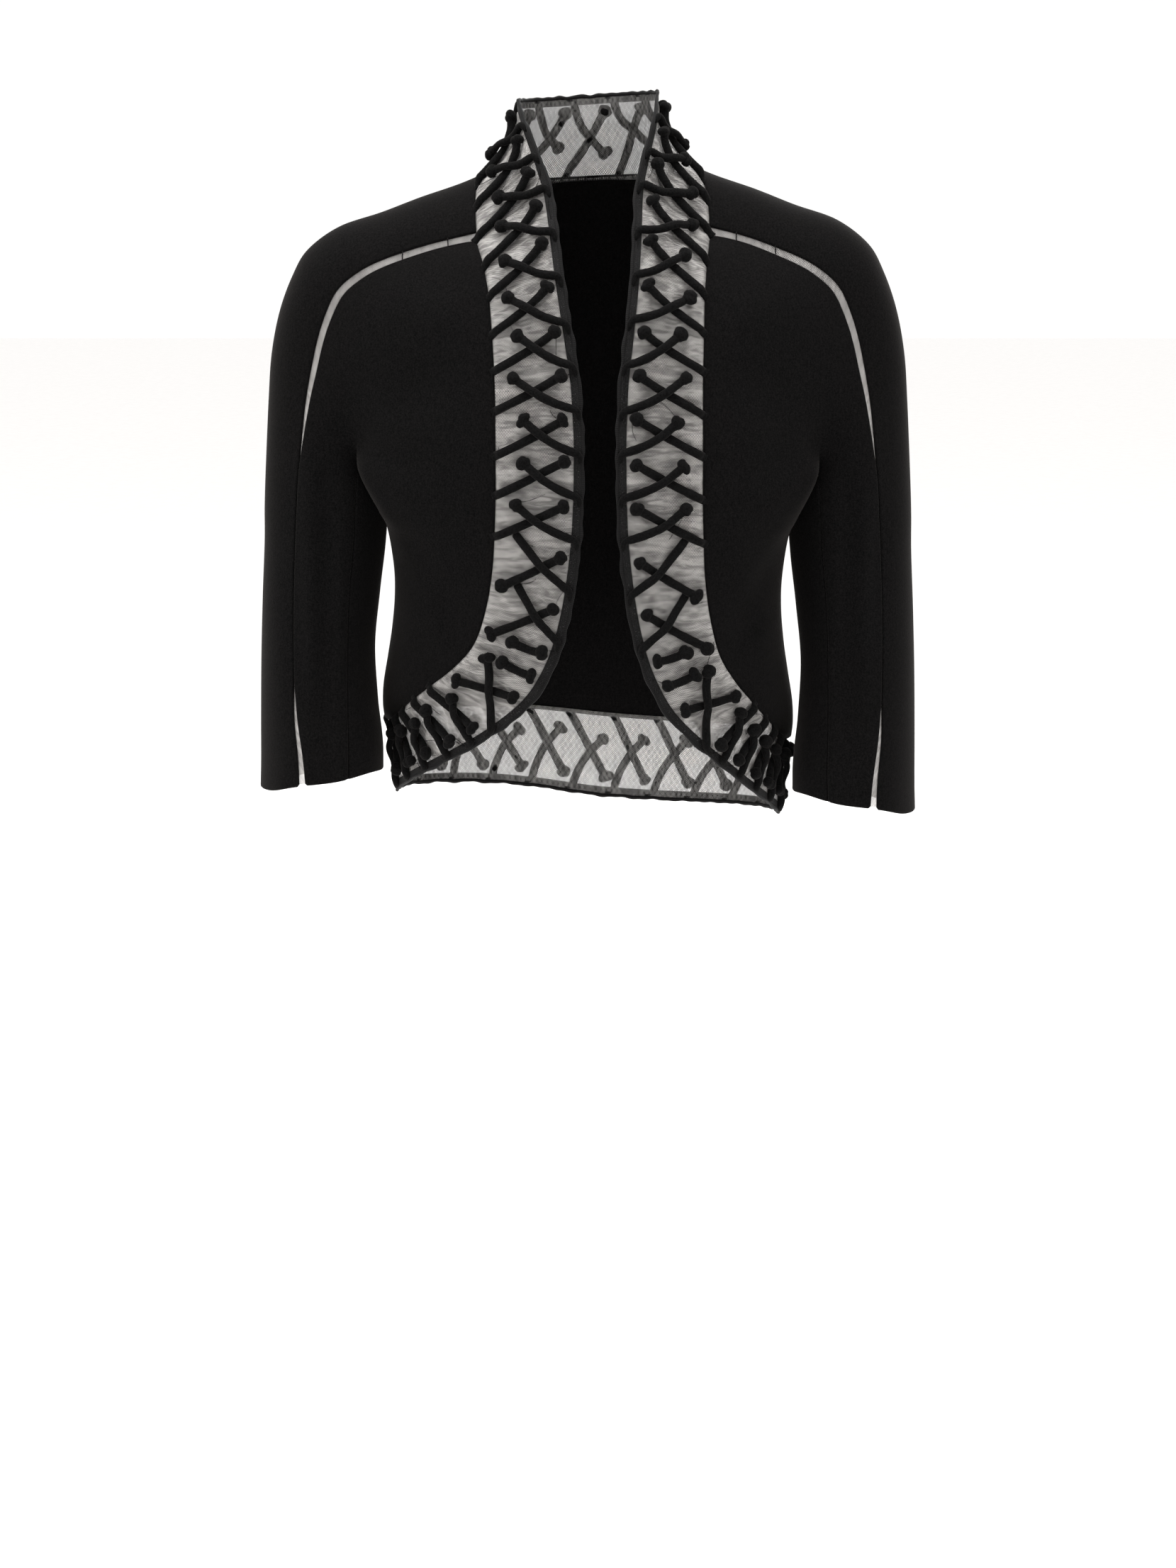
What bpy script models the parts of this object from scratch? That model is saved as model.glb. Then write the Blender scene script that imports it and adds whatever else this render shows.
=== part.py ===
"""Bolero jacket of black wool crepe with a corded tulle band round its neck, fronts and hem.

Frame: +Z up, the front faces -Y and the wearer's left is +X. The origin is midway between the
two points where the shoulder line meets the neck band. The tables are in millimetres and give
the wearer's left half, which the right half mirrors. The model itself is in metres.
"""
import math
import random
from collections import namedtuple

import bmesh
import bpy
import numpy as np
from mathutils import Vector

MM = 0.001

# Cloth, seams and trim, in millimetres.
CREPE_WALL = 1.8
TULLE_WALL = 1.0
SEAM_PULL = 0.4
UNDER_PULL = 1.2
INSERT_WIDTH = 4.6
INSERT_START = 2.5
CORD_RADIUS = 3.7
KNOT_RADIUS = 5.6
KNOT_TIP = 3.4
KNOT_TIP_SHARE = 0.55
KNOT_NECK_SHARE = 1.5
BINDING_RADIUS = 1.6
TRIM_CLEAR = 0.3
BAND_WIDTH = 68.0
CORD_CLEAR = 0.54
BINDING_STEP = 1.6

# Rows that meet an edge more sharply than this sine are cut back no further.
LEAST_SLANT = 0.25

# Faces across each panel.
TOP_COLUMNS = 8
SLEEVE_COLUMNS = 5
BODY_COLUMNS = 7
UNDER_COLUMNS = 8
UNDER_ROWS = 8
BAND_COLUMNS = 4

# The body is a rounded box in plan. The worn jacket hangs lower on the wearer's left, and its
# fronts swing a little to that side between the arms.
BODY_SQUARENESS = 2.4
HANG_REACH = 80.0
SHOULDER_LIFT = 4.0
SIDE_DROP = 0.027
SWING = 0.078
SWING_FULL = 95.0
SWING_NONE = 170.0

Section = namedtuple("Section", "top front back")
Ring = namedtuple("Ring", "z cx cy rx ry insert_deg under_deg")
Fold = namedtuple("Fold", "facing x0 z0 x1 z1 width depth")
Band = namedtuple("Band", "seam edge hollow inside")
Zone = namedtuple("Zone", "name places over under")
BackZone = namedtuple("BackZone", "name count pitch over under")
Lay = namedtuple("Lay", "start end lift bow")

# Shoulder sections from the neck band to the armpit: the points where each crosses the top
# line, the front insert and the back seam.
SHOULDER = (
    Section((90, 8, 0), (94, -52, -47), (84, 46, -5)),
    Section((132, 4, -15), (132, -53, -57), (130, 50, -42)),
    Section((169, 2, -29), (170, -52, -71), (169, 52, -64)),
    Section((204, 0, -41), (190, -51, -83), (190, 51, -80)),
    Section((230, 0, -60), (202, -50, -95), (202, 50, -94)),
    Section((243, -1, -82), (210, -50, -111), (210, 50, -111)),
    Section((254, -1, -112), (217, -50, -131), (217, 50, -131)),
    Section((261, -1, -147), (223, -50, -156), (223, 50, -156)),
    Section((264, -2, -185), (230, -50, -190), (230, 49, -190)),
)

# Sleeve rings from armpit to cuff. Degrees run from the front of the ring: out to the insert
# and in to the seam of the under-sleeve panel.
SLEEVE = (
    Ring(-240, 216.0, -2, 51.0, 54, 24, 33),
    Ring(-275, 217.5, -3, 51.0, 55, 25, 32),
    Ring(-305, 218.5, -3, 50.5, 56, 26, 32),
    Ring(-350, 222.0, -6, 49.0, 58, 24, 33),
    Ring(-400, 225.0, -10, 47.5, 59, 21, 36),
    Ring(-450, 224.0, -13, 49.0, 60, 20, 33),
    Ring(-485, 222.0, -16, 51.0, 61, 17, 30),
    Ring(-508, 222.0, -18, 51.5, 61, 15, 29),
)
CUFF_TILT = 8.5
CUFF_RISE = 5.0

# The armpit fold starts at this shoulder section and deepens to a round arm beside a round chest.
FOLD_SECTION = 4
ARM_ROUND = 26.0

# The under-sleeve panel ends in a horseshoe under the arm, its two tips eased off the folds.
ARMPIT_DROP = 50.0
TIP_EASE = 15.0

# Front lines above the armpit: the fold between sleeve and chest, the band seam and the band's
# free edge, a row for each shoulder section.
CHEST = (
    ((97, -55, -52), (93.5, -58, -54), (34, -63, -19)),
    ((114, -65, -63), (90, -74, -68), (32, -76, -42)),
    ((138, -74, -84), (86.5, -90, -92), (29, -92, -76)),
    ((154, -78, -104), (85, -100, -116), (25, -104, -108)),
    ((165, -79, -124), (84, -107, -140), (21, -112, -137)),
    ((173, -77, -146), (83.3, -111, -163), (17.5, -117, -162)),
    ((179, -73, -169), (83, -114, -186), (16, -120.5, -186)),
    ((183, -66, -193), (83, -115.5, -209), (15, -122.5, -209)),
    ((185.5, -56, -218), (83, -116, -231), (15, -123, -232)),
    (None, (83, -116, -255), (15.5, -123, -257)),
)

# Front lines below the armpit: the side seam, the band seam and the band's free edge. The
# first two rows still follow the horseshoe.
WAIST = (
    (None, (84, -115, -285), (17, -122, -288)),
    (None, (86, -112, -318), (21, -121, -323)),
    ((162, 6, -325), (91, -108, -350), (27, -119, -358)),
    ((161.5, 8, -352), (100, -101, -380), (37, -117, -392)),
    ((164, 10, -380), (115, -91, -402), (54, -112, -424)),
    ((168, 12, -406), (133, -76, -421), (80, -104, -450)),
    ((172, 14, -430), (150, -52, -440), (110, -86, -474)),
    ((173, 15, -448), (161, -20, -456), (140, -54, -498)),
    ((172, 16, -461), (165.5, 3, -463.5), (155, -22, -513)),
)
SIDE_HEM_SEAM = (169, 15, -466)
SIDE_HEM_EDGE = (161, -4, -522)

# Back lines: the fold between sleeve and shoulder blade, and the centre back as y and z.
BLADE = (
    ((58, 72, -4), 88, -4),
    ((92, 80, -30), 99, -32),
    ((122, 88, -60), 105, -62),
    ((142, 90, -88), 109, -92),
    ((156, 88, -114), 111, -122),
    ((166, 84, -138), 111, -150),
    ((174, 78, -163), 109, -178),
    ((180, 70, -190), 106, -206),
    ((184, 59, -217), 102, -233),
    (None, 98, -260),
)
LOWER_BACK = ((94, -290), (91, -318), (89.5, -345), (90, -370), (92, -393), (95, -414), (98, -434),
              (100, -453), (102, -466))

# The standing collar: free-edge points from the shoulder line down to the front insert, and
# the half ring of its top edge round the back of the neck. It hollows in towards the neck, and
# the hollow fades out over the first rows of the front band.
COLLAR_EDGE = ((57, 4, 60), (52, -24, 40), (43, -43, 14), (36.5, -56, -6))
COLLAR_TOP = (57, 62, 60)
COLLAR_HOLLOW = 9.0
COLLAR_FADE = 7
NECK_AXIS_Y = 8.0
HEM_CENTRE = (0, 107, -536)

# The largest folds: a soft trough (negative) or ridge from one x, z point to another, on the
# panels that face this way (-1 front, 1 back). They fade out round the sides and at their ends.
FOLD_FADE = 40.0
FOLD_END = 0.12
FOLDS = (
    Fold(-1, 196, -215, 128, -245, 20, -5.0),
    Fold(-1, 178, -205, 120, -150, 24, -3.0),
    Fold(-1, 150, -305, 112, -372, 18, -4.5),
    Fold(-1, 160, -395, 118, -300, 16, 3.0),
    Fold(-1, 212, -250, 216, -500, 10, -3.0),
    Fold(-1, 229, -200, 226, -430, 8, 2.5),
    Fold(1, 190, -215, 90, -262, 24, -5.0),
    Fold(1, 150, -320, 40, -345, 22, -4.0),
    Fold(1, 215, -260, 220, -500, 12, -3.0),
)

# Cords on the band, measured in millimetres along its middle from the shoulder line. Each
# cross is a cord with its knot by the cloth that runs over to the free edge, and one from the
# cloth seam up to a knot by the free edge. A zone gives the places of its crosses and how far
# along the band from there each cord starts and ends. Back zones are centred on the back.
FRONT_ZONES = (
    Zone("collar", (14, 44, 74), (-11, 11), (13, -13)),
    Zone("front", (108, 142, 177, 211, 245, 279, 313, 347, 389, 432), (-14, 13), (17, -15)),
    Zone("corner", (501,), (-33, 33), (4, -4)),
    Zone("hem", (537, 561, 585, 609, 633), (-15, 15), (-9, 1)),
)
BAR_PLACES = (450, 470)
NECK_ZONE = BackZone("neck_back", 5, 34, (-13, 13), (15, -15))
HEM_ZONE = BackZone("hem_back", 11, 36, (-14, 14), (16, -16))
CORD_JITTER = 1.3
SEED = 7

# How each cord lies: the shares of the band's width where it starts and ends, how far its middle
# rises and how far it bows along the band. The crosses by the curve have a cord with a knot at
# both ends under the other.
OVER_CORD = Lay(0.24, 1.04, 4.0, 3.0)
UNDER_CORD = Lay(0.03, 0.82, 0.0, 0.5)
FREE_UNDER_CORD = Lay(0.14, 0.82, 0.0, 0.5)
FREE_UNDER_FROM = 380
FREE_UNDER_TO = 520
BAR_CORD = Lay(0.42, 0.84, 0.0, 2.0)
BAR_LEAN = 4.0


def smooth(value):
    """Ease from 0 to 1."""
    value = min(max(value, 0.0), 1.0)
    return value * value * (3 - 2 * value)


def lerp(a, b, s):
    return np.asarray(a, float) * (1 - s) + np.asarray(b, float) * s


def through_three(a, b, c):
    """The round arc from a through b to c, as a function of 0 to 1."""
    a, b, c = (np.asarray(p, float) for p in (a, b, c))
    ab, ac = b - a, c - a
    normal = np.cross(ab, ac)
    offset = np.cross(normal, ab) * (ac @ ac) + np.cross(ac, normal) * (ab @ ab)
    centre = a + offset / (2 * normal @ normal)
    axis = normal / np.linalg.norm(normal)
    start = a - centre
    across = np.cross(axis, start)
    end = c - centre
    sweep = math.atan2(end @ across, end @ start) % (2 * math.pi)
    return lambda s: centre + start * math.cos(sweep * s) + across * math.sin(sweep * s)


def through_fold(a, b, c):
    """The parabola from a through b to c, and the share of the way at which it meets b."""
    a, b, c = (np.asarray(p, float) for p in (a, b, c))
    first, second = np.linalg.norm(b - a), np.linalg.norm(c - b)
    m = first / (first + second)

    def point(s):
        return (a * (s - m) * (s - 1) / m + b * s * (s - 1) / (m * (m - 1))
                + c * s * (s - m) / (1 - m))
    return point, m


def across_back(a, b, c):
    """The curve from a through b to c on the centre back, level there so both halves meet flat."""
    a, b, c = (np.asarray(p, float) for p in (a, b, c))
    powers = np.array([[a[0] ** 2, a[0] ** 4], [b[0] ** 2, b[0] ** 4]])
    terms = np.linalg.solve(powers, np.array([a - c, b - c]))

    def point(s):
        x = a[0] * (1 - s)
        y, z = (c + x ** 2 * terms[0] + x ** 4 * terms[1])[1:]
        return np.array([x, y, z])
    return point, 1 - b[0] / a[0]


def wrap(side, middle, s):
    """A point on the rounded body between a side line and a line nearer its middle."""
    power = 2 / BODY_SQUARENESS
    turn = math.acos(min(1.0, (middle[0] / side[0]) ** (1 / power)))
    reach = (middle[1] - side[1]) / math.sin(turn) ** power
    x = side[0] * max(0.0, math.cos(turn * s)) ** power
    y = side[1] + reach * math.sin(turn * s) ** power
    return np.array([x, y, side[2] + (middle[2] - side[2]) * s])


def ring_at(z):
    """The sleeve ring at one height, between the table's rings."""
    levels = [-r.z for r in SLEEVE]
    return Ring(z, *(np.interp(-z, levels, [r[i] for r in SLEEVE]) for i in range(1, 7)))


def on_sleeve(z, degrees):
    """A point on the sleeve at a height and a turn from its front, outward positive."""
    ring = ring_at(z)
    turn = math.radians(degrees)
    slope = smooth((z - SLEEVE[0].z) / (SLEEVE[-1].z - SLEEVE[0].z))
    return np.array([ring.cx + ring.rx * math.sin(turn), ring.cy - ring.ry * math.cos(turn),
                     z + slope * (CUFF_RISE * math.cos(turn) - CUFF_TILT * math.sin(turn))])


def horseshoe(share):
    """The seam under the arm, from the front fold (0) round below (1) to the back fold (2)."""
    start = SLEEVE[0].under_deg
    degrees = start + (90 - start) * share
    height = SLEEVE[0].z - ARMPIT_DROP * math.sin(math.pi / 2 * share)
    return on_sleeve(height, -degrees), height


def spline(points, place):
    """A point on the smooth line through points, at a place counted in points."""
    last = len(points) - 1
    i = min(int(place), last - 1)
    t = place - i
    p1, p2 = points[i], points[i + 1]
    p0 = points[i - 1] if i else 2 * p1 - p2
    p3 = points[i + 2] if i + 2 <= last else 2 * p2 - p1
    return 0.5 * (2 * p1 + (p2 - p0) * t + (2 * p0 - 5 * p1 + 4 * p2 - p3) * t * t
                  + (3 * p1 - p0 - 3 * p2 + p3) * t ** 3)


def respaced(row, start_cut, end_cut):
    """The same row with its ends cut back and its points evenly spaced again."""
    run = np.concatenate([[0], np.cumsum(np.linalg.norm(np.diff(row, axis=0), axis=1))])
    wanted = np.linspace(start_cut, run[-1] - end_cut, len(row))
    return np.array([spline(row, place) for place in np.interp(wanted, run, range(len(row)))])


def slant(edge, inner):
    """The sine of the angle between an edge line and the rows that meet it."""
    along = np.gradient(edge, axis=0)
    rows = inner - edge
    sizes = np.linalg.norm(along, axis=1) * np.linalg.norm(rows, axis=1)
    return np.maximum(np.linalg.norm(np.cross(along, rows), axis=1) / sizes, LEAST_SLANT)


def pull_in(grid, front=0.0, back=0.0, top=0.0, bottom=0.0):
    """Cut back the edges of a grid of points: the two ends of its rows, its first and last row."""
    out = grid.copy()
    if front or back:
        starts = front / slant(grid[:, 0], grid[:, 1])
        ends = back / slant(grid[:, -1], grid[:, -2])
        out = np.array([respaced(row, a, b) for row, a, b in zip(grid, starts, ends)])
    for edge, inner, amount in ((0, 1, top), (-1, -2, bottom)):
        step = out[inner] - out[edge]
        out[edge] += step / np.linalg.norm(step, axis=1, keepdims=True) * amount
    return out


def settle(points):
    """Worn shape: the largest folds, the lower hang of one side and the swing of the fronts."""
    points = np.array(points, float)
    shape = points.shape
    points = points.reshape(-1, 3)
    for fold in FOLDS:
        a, b = np.array([fold.x0, fold.z0], float), np.array([fold.x1, fold.z1], float)
        flat = np.stack([np.abs(points[:, 0]), points[:, 2]], axis=1)
        along = np.clip((flat - a) @ (b - a) / ((b - a) @ (b - a)), 0, 1)
        distance = np.linalg.norm(flat - a - along[:, None] * (b - a), axis=1)
        faces = np.clip(0.5 + fold.facing * points[:, 1] / FOLD_FADE, 0, 1)
        tapered = np.sin(math.pi * (FOLD_END + (1 - 2 * FOLD_END) * along))
        amount = fold.depth * np.exp(-(distance / fold.width) ** 2) * faces * tapered
        points[:, 1] += fold.facing * amount
    lower = np.tanh(points[:, 0] / HANG_REACH)
    points[:, 2] += lower * (SHOULDER_LIFT + SIDE_DROP * points[:, 2])
    fade = np.clip((SWING_NONE - np.abs(points[:, 0])) / (SWING_NONE - SWING_FULL), 0, 1)
    points[:, 0] += SWING * np.maximum(-points[:, 1], 0) * fade * fade * (3 - 2 * fade)
    return points.reshape(shape)


def seam_corner(name, row):
    """Fill in the fold or side point of a row that follows the horseshoe."""
    shares = {"front": (0.0, 0.5, 1.0), "back": (2.0, 1.5, 1.0)}
    return horseshoe(shares[name][row])[0]


def panel_rows(name, middles, folds, sides):
    """Sleeve-side and body-side rows of a front or half back, from the neck down."""
    facing = -1 if name == "front" else 1
    upper = len(SHOULDER) + 1
    sleeve, body = [], []
    for i, middle in enumerate(middles):
        if i < upper:
            if i < len(SHOULDER):
                edge = getattr(SHOULDER[i], name)
            else:
                insert = SLEEVE[0].insert_deg
                edge = on_sleeve(SLEEVE[0].z, insert if name == "front" else 180 - insert)
            fold = np.asarray(folds[i], float)
            gentle, meet = (through_fold if name == "front" else across_back)(edge, fold, middle)
            deep = smooth((i - FOLD_SECTION) / (upper - 1 - FOLD_SECTION))
            row = []
            for s in np.linspace(0, 1, SLEEVE_COLUMNS + 1):
                round_arm = lerp(edge, fold, s) + np.array([0, facing * ARM_ROUND * s * (1 - s), 0])
                row.append(lerp(gentle(meet * s), round_arm, deep))
            sleeve.append(row)
            body.append([lerp(gentle(meet + (1 - meet) * s), wrap(fold, middle, s), deep)
                         for s in np.linspace(0, 1, BODY_COLUMNS + 1)])
        else:
            side = sides[i - upper]
            body.append([wrap(side, middle, s) for s in np.linspace(0, 1, BODY_COLUMNS + 1)])
    for ring in SLEEVE[1:]:
        start, end = ring.insert_deg, -ring.under_deg
        if name == "back":
            start, end = 180 - start, 180 - end
        sleeve.append([on_sleeve(ring.z, start + (end - start) * s)
                       for s in np.linspace(0, 1, SLEEVE_COLUMNS + 1)])
    return np.array(sleeve), np.array(body)


def side_line(name):
    """Side-seam points below the arm, the first two on the horseshoe."""
    given = [row[0] for row in WAIST]
    return [seam_corner(name, 1), seam_corner(name, 2)] + given[2:]


def front_grids():
    folds = [row[0] for row in CHEST[:-1]] + [seam_corner("front", 0)]
    middles = [row[1] for row in CHEST] + [row[1] for row in WAIST]
    return panel_rows("front", middles, folds, side_line("front"))


def back_grids():
    folds = [row[0] for row in BLADE[:-1]] + [seam_corner("back", 0)]
    middles = [(0, row[1], row[2]) for row in BLADE] + [(0, y, z) for y, z in LOWER_BACK]
    return panel_rows("back", middles, folds, side_line("back"))


def top_grid():
    """The shoulder and outer sleeve, front insert to back seam, neck to cuff."""
    rows = []
    for section in SHOULDER:
        arc = through_three(section.front, section.top, section.back)
        rows.append([arc(s) for s in np.linspace(0, 1, TOP_COLUMNS + 1)])
    for ring in SLEEVE:
        turn = 180 - 2 * ring.insert_deg
        rows.append([on_sleeve(ring.z, ring.insert_deg + turn * s)
                     for s in np.linspace(0, 1, TOP_COLUMNS + 1)])
    return np.array(rows)


def under_grid():
    """The under-sleeve panel, from the horseshoe to the cuff, front seam to back seam."""
    rows = []
    for v in np.linspace(0, 1, UNDER_ROWS + 1):
        row = []
        for share in np.linspace(0, 2, UNDER_COLUMNS + 1):
            height = horseshoe(share)[1] - TIP_EASE * abs(1 - share) ** 6
            z = height + (SLEEVE[-1].z - height) * v
            seam = ring_at(z).under_deg
            turn = seam + (90 - seam) * share
            row.append(on_sleeve(z, -turn))
        rows.append(row)
    return np.array(rows)


def neck_seam():
    """The band seam from the shoulder line round to the centre back of the neck."""
    section = SHOULDER[0]
    arc = through_three(section.front, section.top, section.back)
    ridge = 0.5 * (1 + ridge_share())
    sleeve, body = back_grids()
    return np.array([arc(ridge_share()), arc(ridge)] + list(sleeve[0][::2]) + list(body[0][1::2]))


def ridge_share():
    """The share of the first shoulder arc at which it crosses the shoulder line."""
    section = SHOULDER[0]
    arc = through_three(section.front, section.top, section.back)
    shares = np.linspace(0, 1, 201)
    return float(min(shares, key=lambda s: np.linalg.norm(arc(s) - section.top)))


def band_lines():
    """The three lengths of band as lines: half front, half neck, half hem."""
    section = SHOULDER[0]
    arc = through_three(section.front, section.top, section.back)
    collar = [arc(ridge_share() * s) for s in (1.0, 0.62, 0.3, 0.0)]
    seam = collar + [row[1] for row in CHEST] + [row[1] for row in WAIST] + [SIDE_HEM_SEAM]
    edge = list(COLLAR_EDGE) + [row[2] for row in CHEST] + [row[2] for row in WAIST] + [SIDE_HEM_EDGE]
    fade = [COLLAR_HOLLOW * smooth(1 - row / COLLAR_FADE) for row in range(len(seam))]
    neck = neck_seam()
    turns = np.linspace(0, math.pi / 2, len(neck))
    top = [(COLLAR_TOP[0] * math.cos(a), 4 + (COLLAR_TOP[1] - 4) * math.sin(a), COLLAR_TOP[2])
           for a in turns]
    hem = np.vstack([[SIDE_HEM_SEAM], back_grids()[1][-1][1:]])
    low = [wrap(SIDE_HEM_EDGE, HEM_CENTRE, s) for s in np.linspace(0, 1, len(hem))]
    return {"front": Band(np.array(seam, float), np.array(edge, float), np.array(fade), (40, 60, -200)),
            "neck": Band(neck, np.array(top, float), np.full(len(neck), COLLAR_HOLLOW), (0, 20, 20)),
            "hem": Band(hem, np.array(low, float), np.zeros(len(hem)), (0, 20, -490))}


def full_round(band):
    """A half band that ends at the centre back, carried on round the other half."""
    def carried(line):
        return np.vstack([line, mirrored(line[::-1][1:], -1)])
    hollow = np.concatenate([band.hollow, band.hollow[::-1][1:]])
    return Band(carried(band.seam), carried(band.edge), hollow, band.inside)


def other_side(band, side):
    return Band(mirrored(band.seam, side), mirrored(band.edge, side), band.hollow,
                mirrored(band.inside, side))


def band_point(band, place, across):
    """A point on a band, at a place counted in its rows and a share of the way to its free edge."""
    point = lerp(spline(band.seam, place), spline(band.edge, place), across)
    inward = np.array([0, NECK_AXIS_Y, 0]) - point * np.array([1, 1, 0])
    inward /= np.linalg.norm(inward)
    return point + inward * spline(band.hollow, place) * 4 * across * (1 - across)


def band_grid(band):
    shares = np.linspace(0, 1, BAND_COLUMNS + 1)
    return np.array([[band_point(band, row, s) for s in shares] for row in range(len(band.seam))])


def middle_run(band):
    """Places along a band, counted in its rows, and the distance along its middle at each."""
    places = np.linspace(0, len(band.seam) - 1, 12 * len(band.seam))
    middle = np.array([band_point(band, p, 0.5) for p in places])
    run = np.concatenate([[0], np.cumsum(np.linalg.norm(np.diff(middle, axis=0), axis=1))])
    return places, run


def band_normal(band, place, across):
    step = 0.05
    low, high = max(place - step, 0), min(place + step, len(band.seam) - 1)
    along = band_point(band, high, across) - band_point(band, low, across)
    over = band_point(band, place, across + step) - band_point(band, place, across - step)
    normal = np.cross(along, over)
    normal /= np.linalg.norm(normal)
    outward = band_point(band, place, across) - band.inside
    return normal if normal @ outward > 0 else -normal


def cord_path(band, from_run, to_run, lay, start_knot, end_knot, step_up=BINDING_STEP):
    """Points and radii of a cord between two distances along a band.

    A knotted end swells and closes; a plain end is caught in a seam or steps up over the binding.
    """
    start, end = np.array([from_run, lay.start]), np.array([to_run, lay.end])
    length = math.hypot(end[0] - start[0], (end[1] - start[1]) * BAND_WIDTH)
    places, run = middle_run(band)
    shares, radii = [], []
    tip, neck = KNOT_TIP / length, KNOT_NECK_SHARE * KNOT_RADIUS / length
    tip_radius = KNOT_TIP_SHARE * KNOT_RADIUS
    if start_knot:
        shares += [-tip, 0.0, neck]
        radii += [tip_radius, KNOT_RADIUS, CORD_RADIUS]
    else:
        shares += [0.0, 0.25]
        radii += [CORD_RADIUS, CORD_RADIUS]
    shares += [0.5]
    radii += [CORD_RADIUS]
    if end_knot:
        shares += [1 - neck, 1.0, 1 + tip]
        radii += [CORD_RADIUS, KNOT_RADIUS, tip_radius]
    else:
        shares += [0.78, 1.0]
        radii += [CORD_RADIUS, CORD_RADIUS]
    points = []
    for share, radius in zip(shares, radii):
        distance, across = start + (end - start) * share
        arch = math.sin(math.pi * min(max(share, 0), 1))
        distance += lay.bow * arch
        place = float(np.interp(distance, run, places))
        rise = CORD_CLEAR + max(radius, KNOT_RADIUS if share < 0 or share > 1 else 0)
        rise += step_up * smooth((across - 0.85) / 0.15)
        rise += lay.lift * arch ** 2
        points.append(band_point(band, place, across)
                      + band_normal(band, place, min(across, 1.0)) * rise)
    return settle(points), radii


def material(name, colour, roughness):
    made = bpy.data.materials.new(name)
    made.use_nodes = True
    shader = made.node_tree.nodes["Principled BSDF"]
    shader.inputs["Base Color"].default_value = (*colour, 1.0)
    shader.inputs["Roughness"].default_value = roughness
    shader.inputs["Metallic"].default_value = 0.0
    return made


def add_object(name, mesh, finish):
    made = bpy.data.objects.new(name, mesh)
    mesh.materials.append(finish)
    jacket.objects.link(made)
    return made


def cloth(name, grids, inside, wall, finish):
    """One cloth piece: grids of points joined where they meet, with a wall inwards."""
    shell = bmesh.new()
    for grid in grids:
        rows, columns = len(grid), len(grid[0])
        made = bmesh.ops.create_grid(shell, x_segments=columns - 1, y_segments=rows - 1, size=1)
        for vert in made["verts"]:
            column = round((vert.co.x + 1) / 2 * (columns - 1))
            row = round((vert.co.y + 1) / 2 * (rows - 1))
            vert.co = grid[row][column] * MM
    bmesh.ops.remove_doubles(shell, verts=shell.verts, dist=0.01 * MM)
    bmesh.ops.recalc_face_normals(shell, faces=shell.faces)
    centre = Vector(inside) * MM
    outward = sum(face.normal.dot(face.calc_center_median() - centre) for face in shell.faces)
    if outward < 0:
        bmesh.ops.reverse_faces(shell, faces=shell.faces)
    mesh = bpy.data.meshes.new(name)
    shell.to_mesh(mesh)
    shell.free()
    mesh.shade_smooth()
    made = add_object(name, mesh, finish)
    thicken = made.modifiers.new("Wall", "SOLIDIFY")
    thicken.thickness = wall * MM
    thicken.offset = -1
    return made


def tube(name, points, radii, finish):
    """A round cord along points, as a mesh with welded ends."""
    curve = bpy.data.curves.new(name, "CURVE")
    curve.dimensions = "3D"
    curve.bevel_depth = MM
    curve.bevel_resolution = 1
    curve.use_fill_caps = True
    line = curve.splines.new("POLY")
    line.points.add(len(points) - 1)
    for spot, point, radius in zip(line.points, points, radii):
        spot.co = (*(np.asarray(point) * MM), 1)
        spot.radius = radius
    guide = bpy.data.objects.new(name + "_guide", curve)
    jacket.objects.link(guide)
    mesh = evaluated_mesh(guide)
    bpy.data.objects.remove(guide)
    weld = bmesh.new()
    weld.from_mesh(mesh)
    bmesh.ops.remove_doubles(weld, verts=weld.verts, dist=0.01 * MM)
    bmesh.ops.recalc_face_normals(weld, faces=weld.faces)
    weld.to_mesh(mesh)
    weld.free()
    mesh.name = name
    mesh.materials.clear()
    mesh.shade_smooth()
    return add_object(name, mesh, finish)


def evaluated_mesh(thing):
    bpy.context.view_layer.update()
    graph = bpy.context.evaluated_depsgraph_get()
    return bpy.data.meshes.new_from_object(thing.evaluated_get(graph))


def sew_together(base, others):
    """Join cords that cross into one solid."""
    for other in others:
        join = base.modifiers.new("Join", "BOOLEAN")
        join.operation = "UNION"
        join.object = other
        mesh = evaluated_mesh(base)
        base.modifiers.clear()
        base.data = mesh
        bpy.data.objects.remove(other)
    return base


def mirrored(grid, side):
    return np.asarray(grid, float) * np.array([side, 1, 1])


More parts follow.
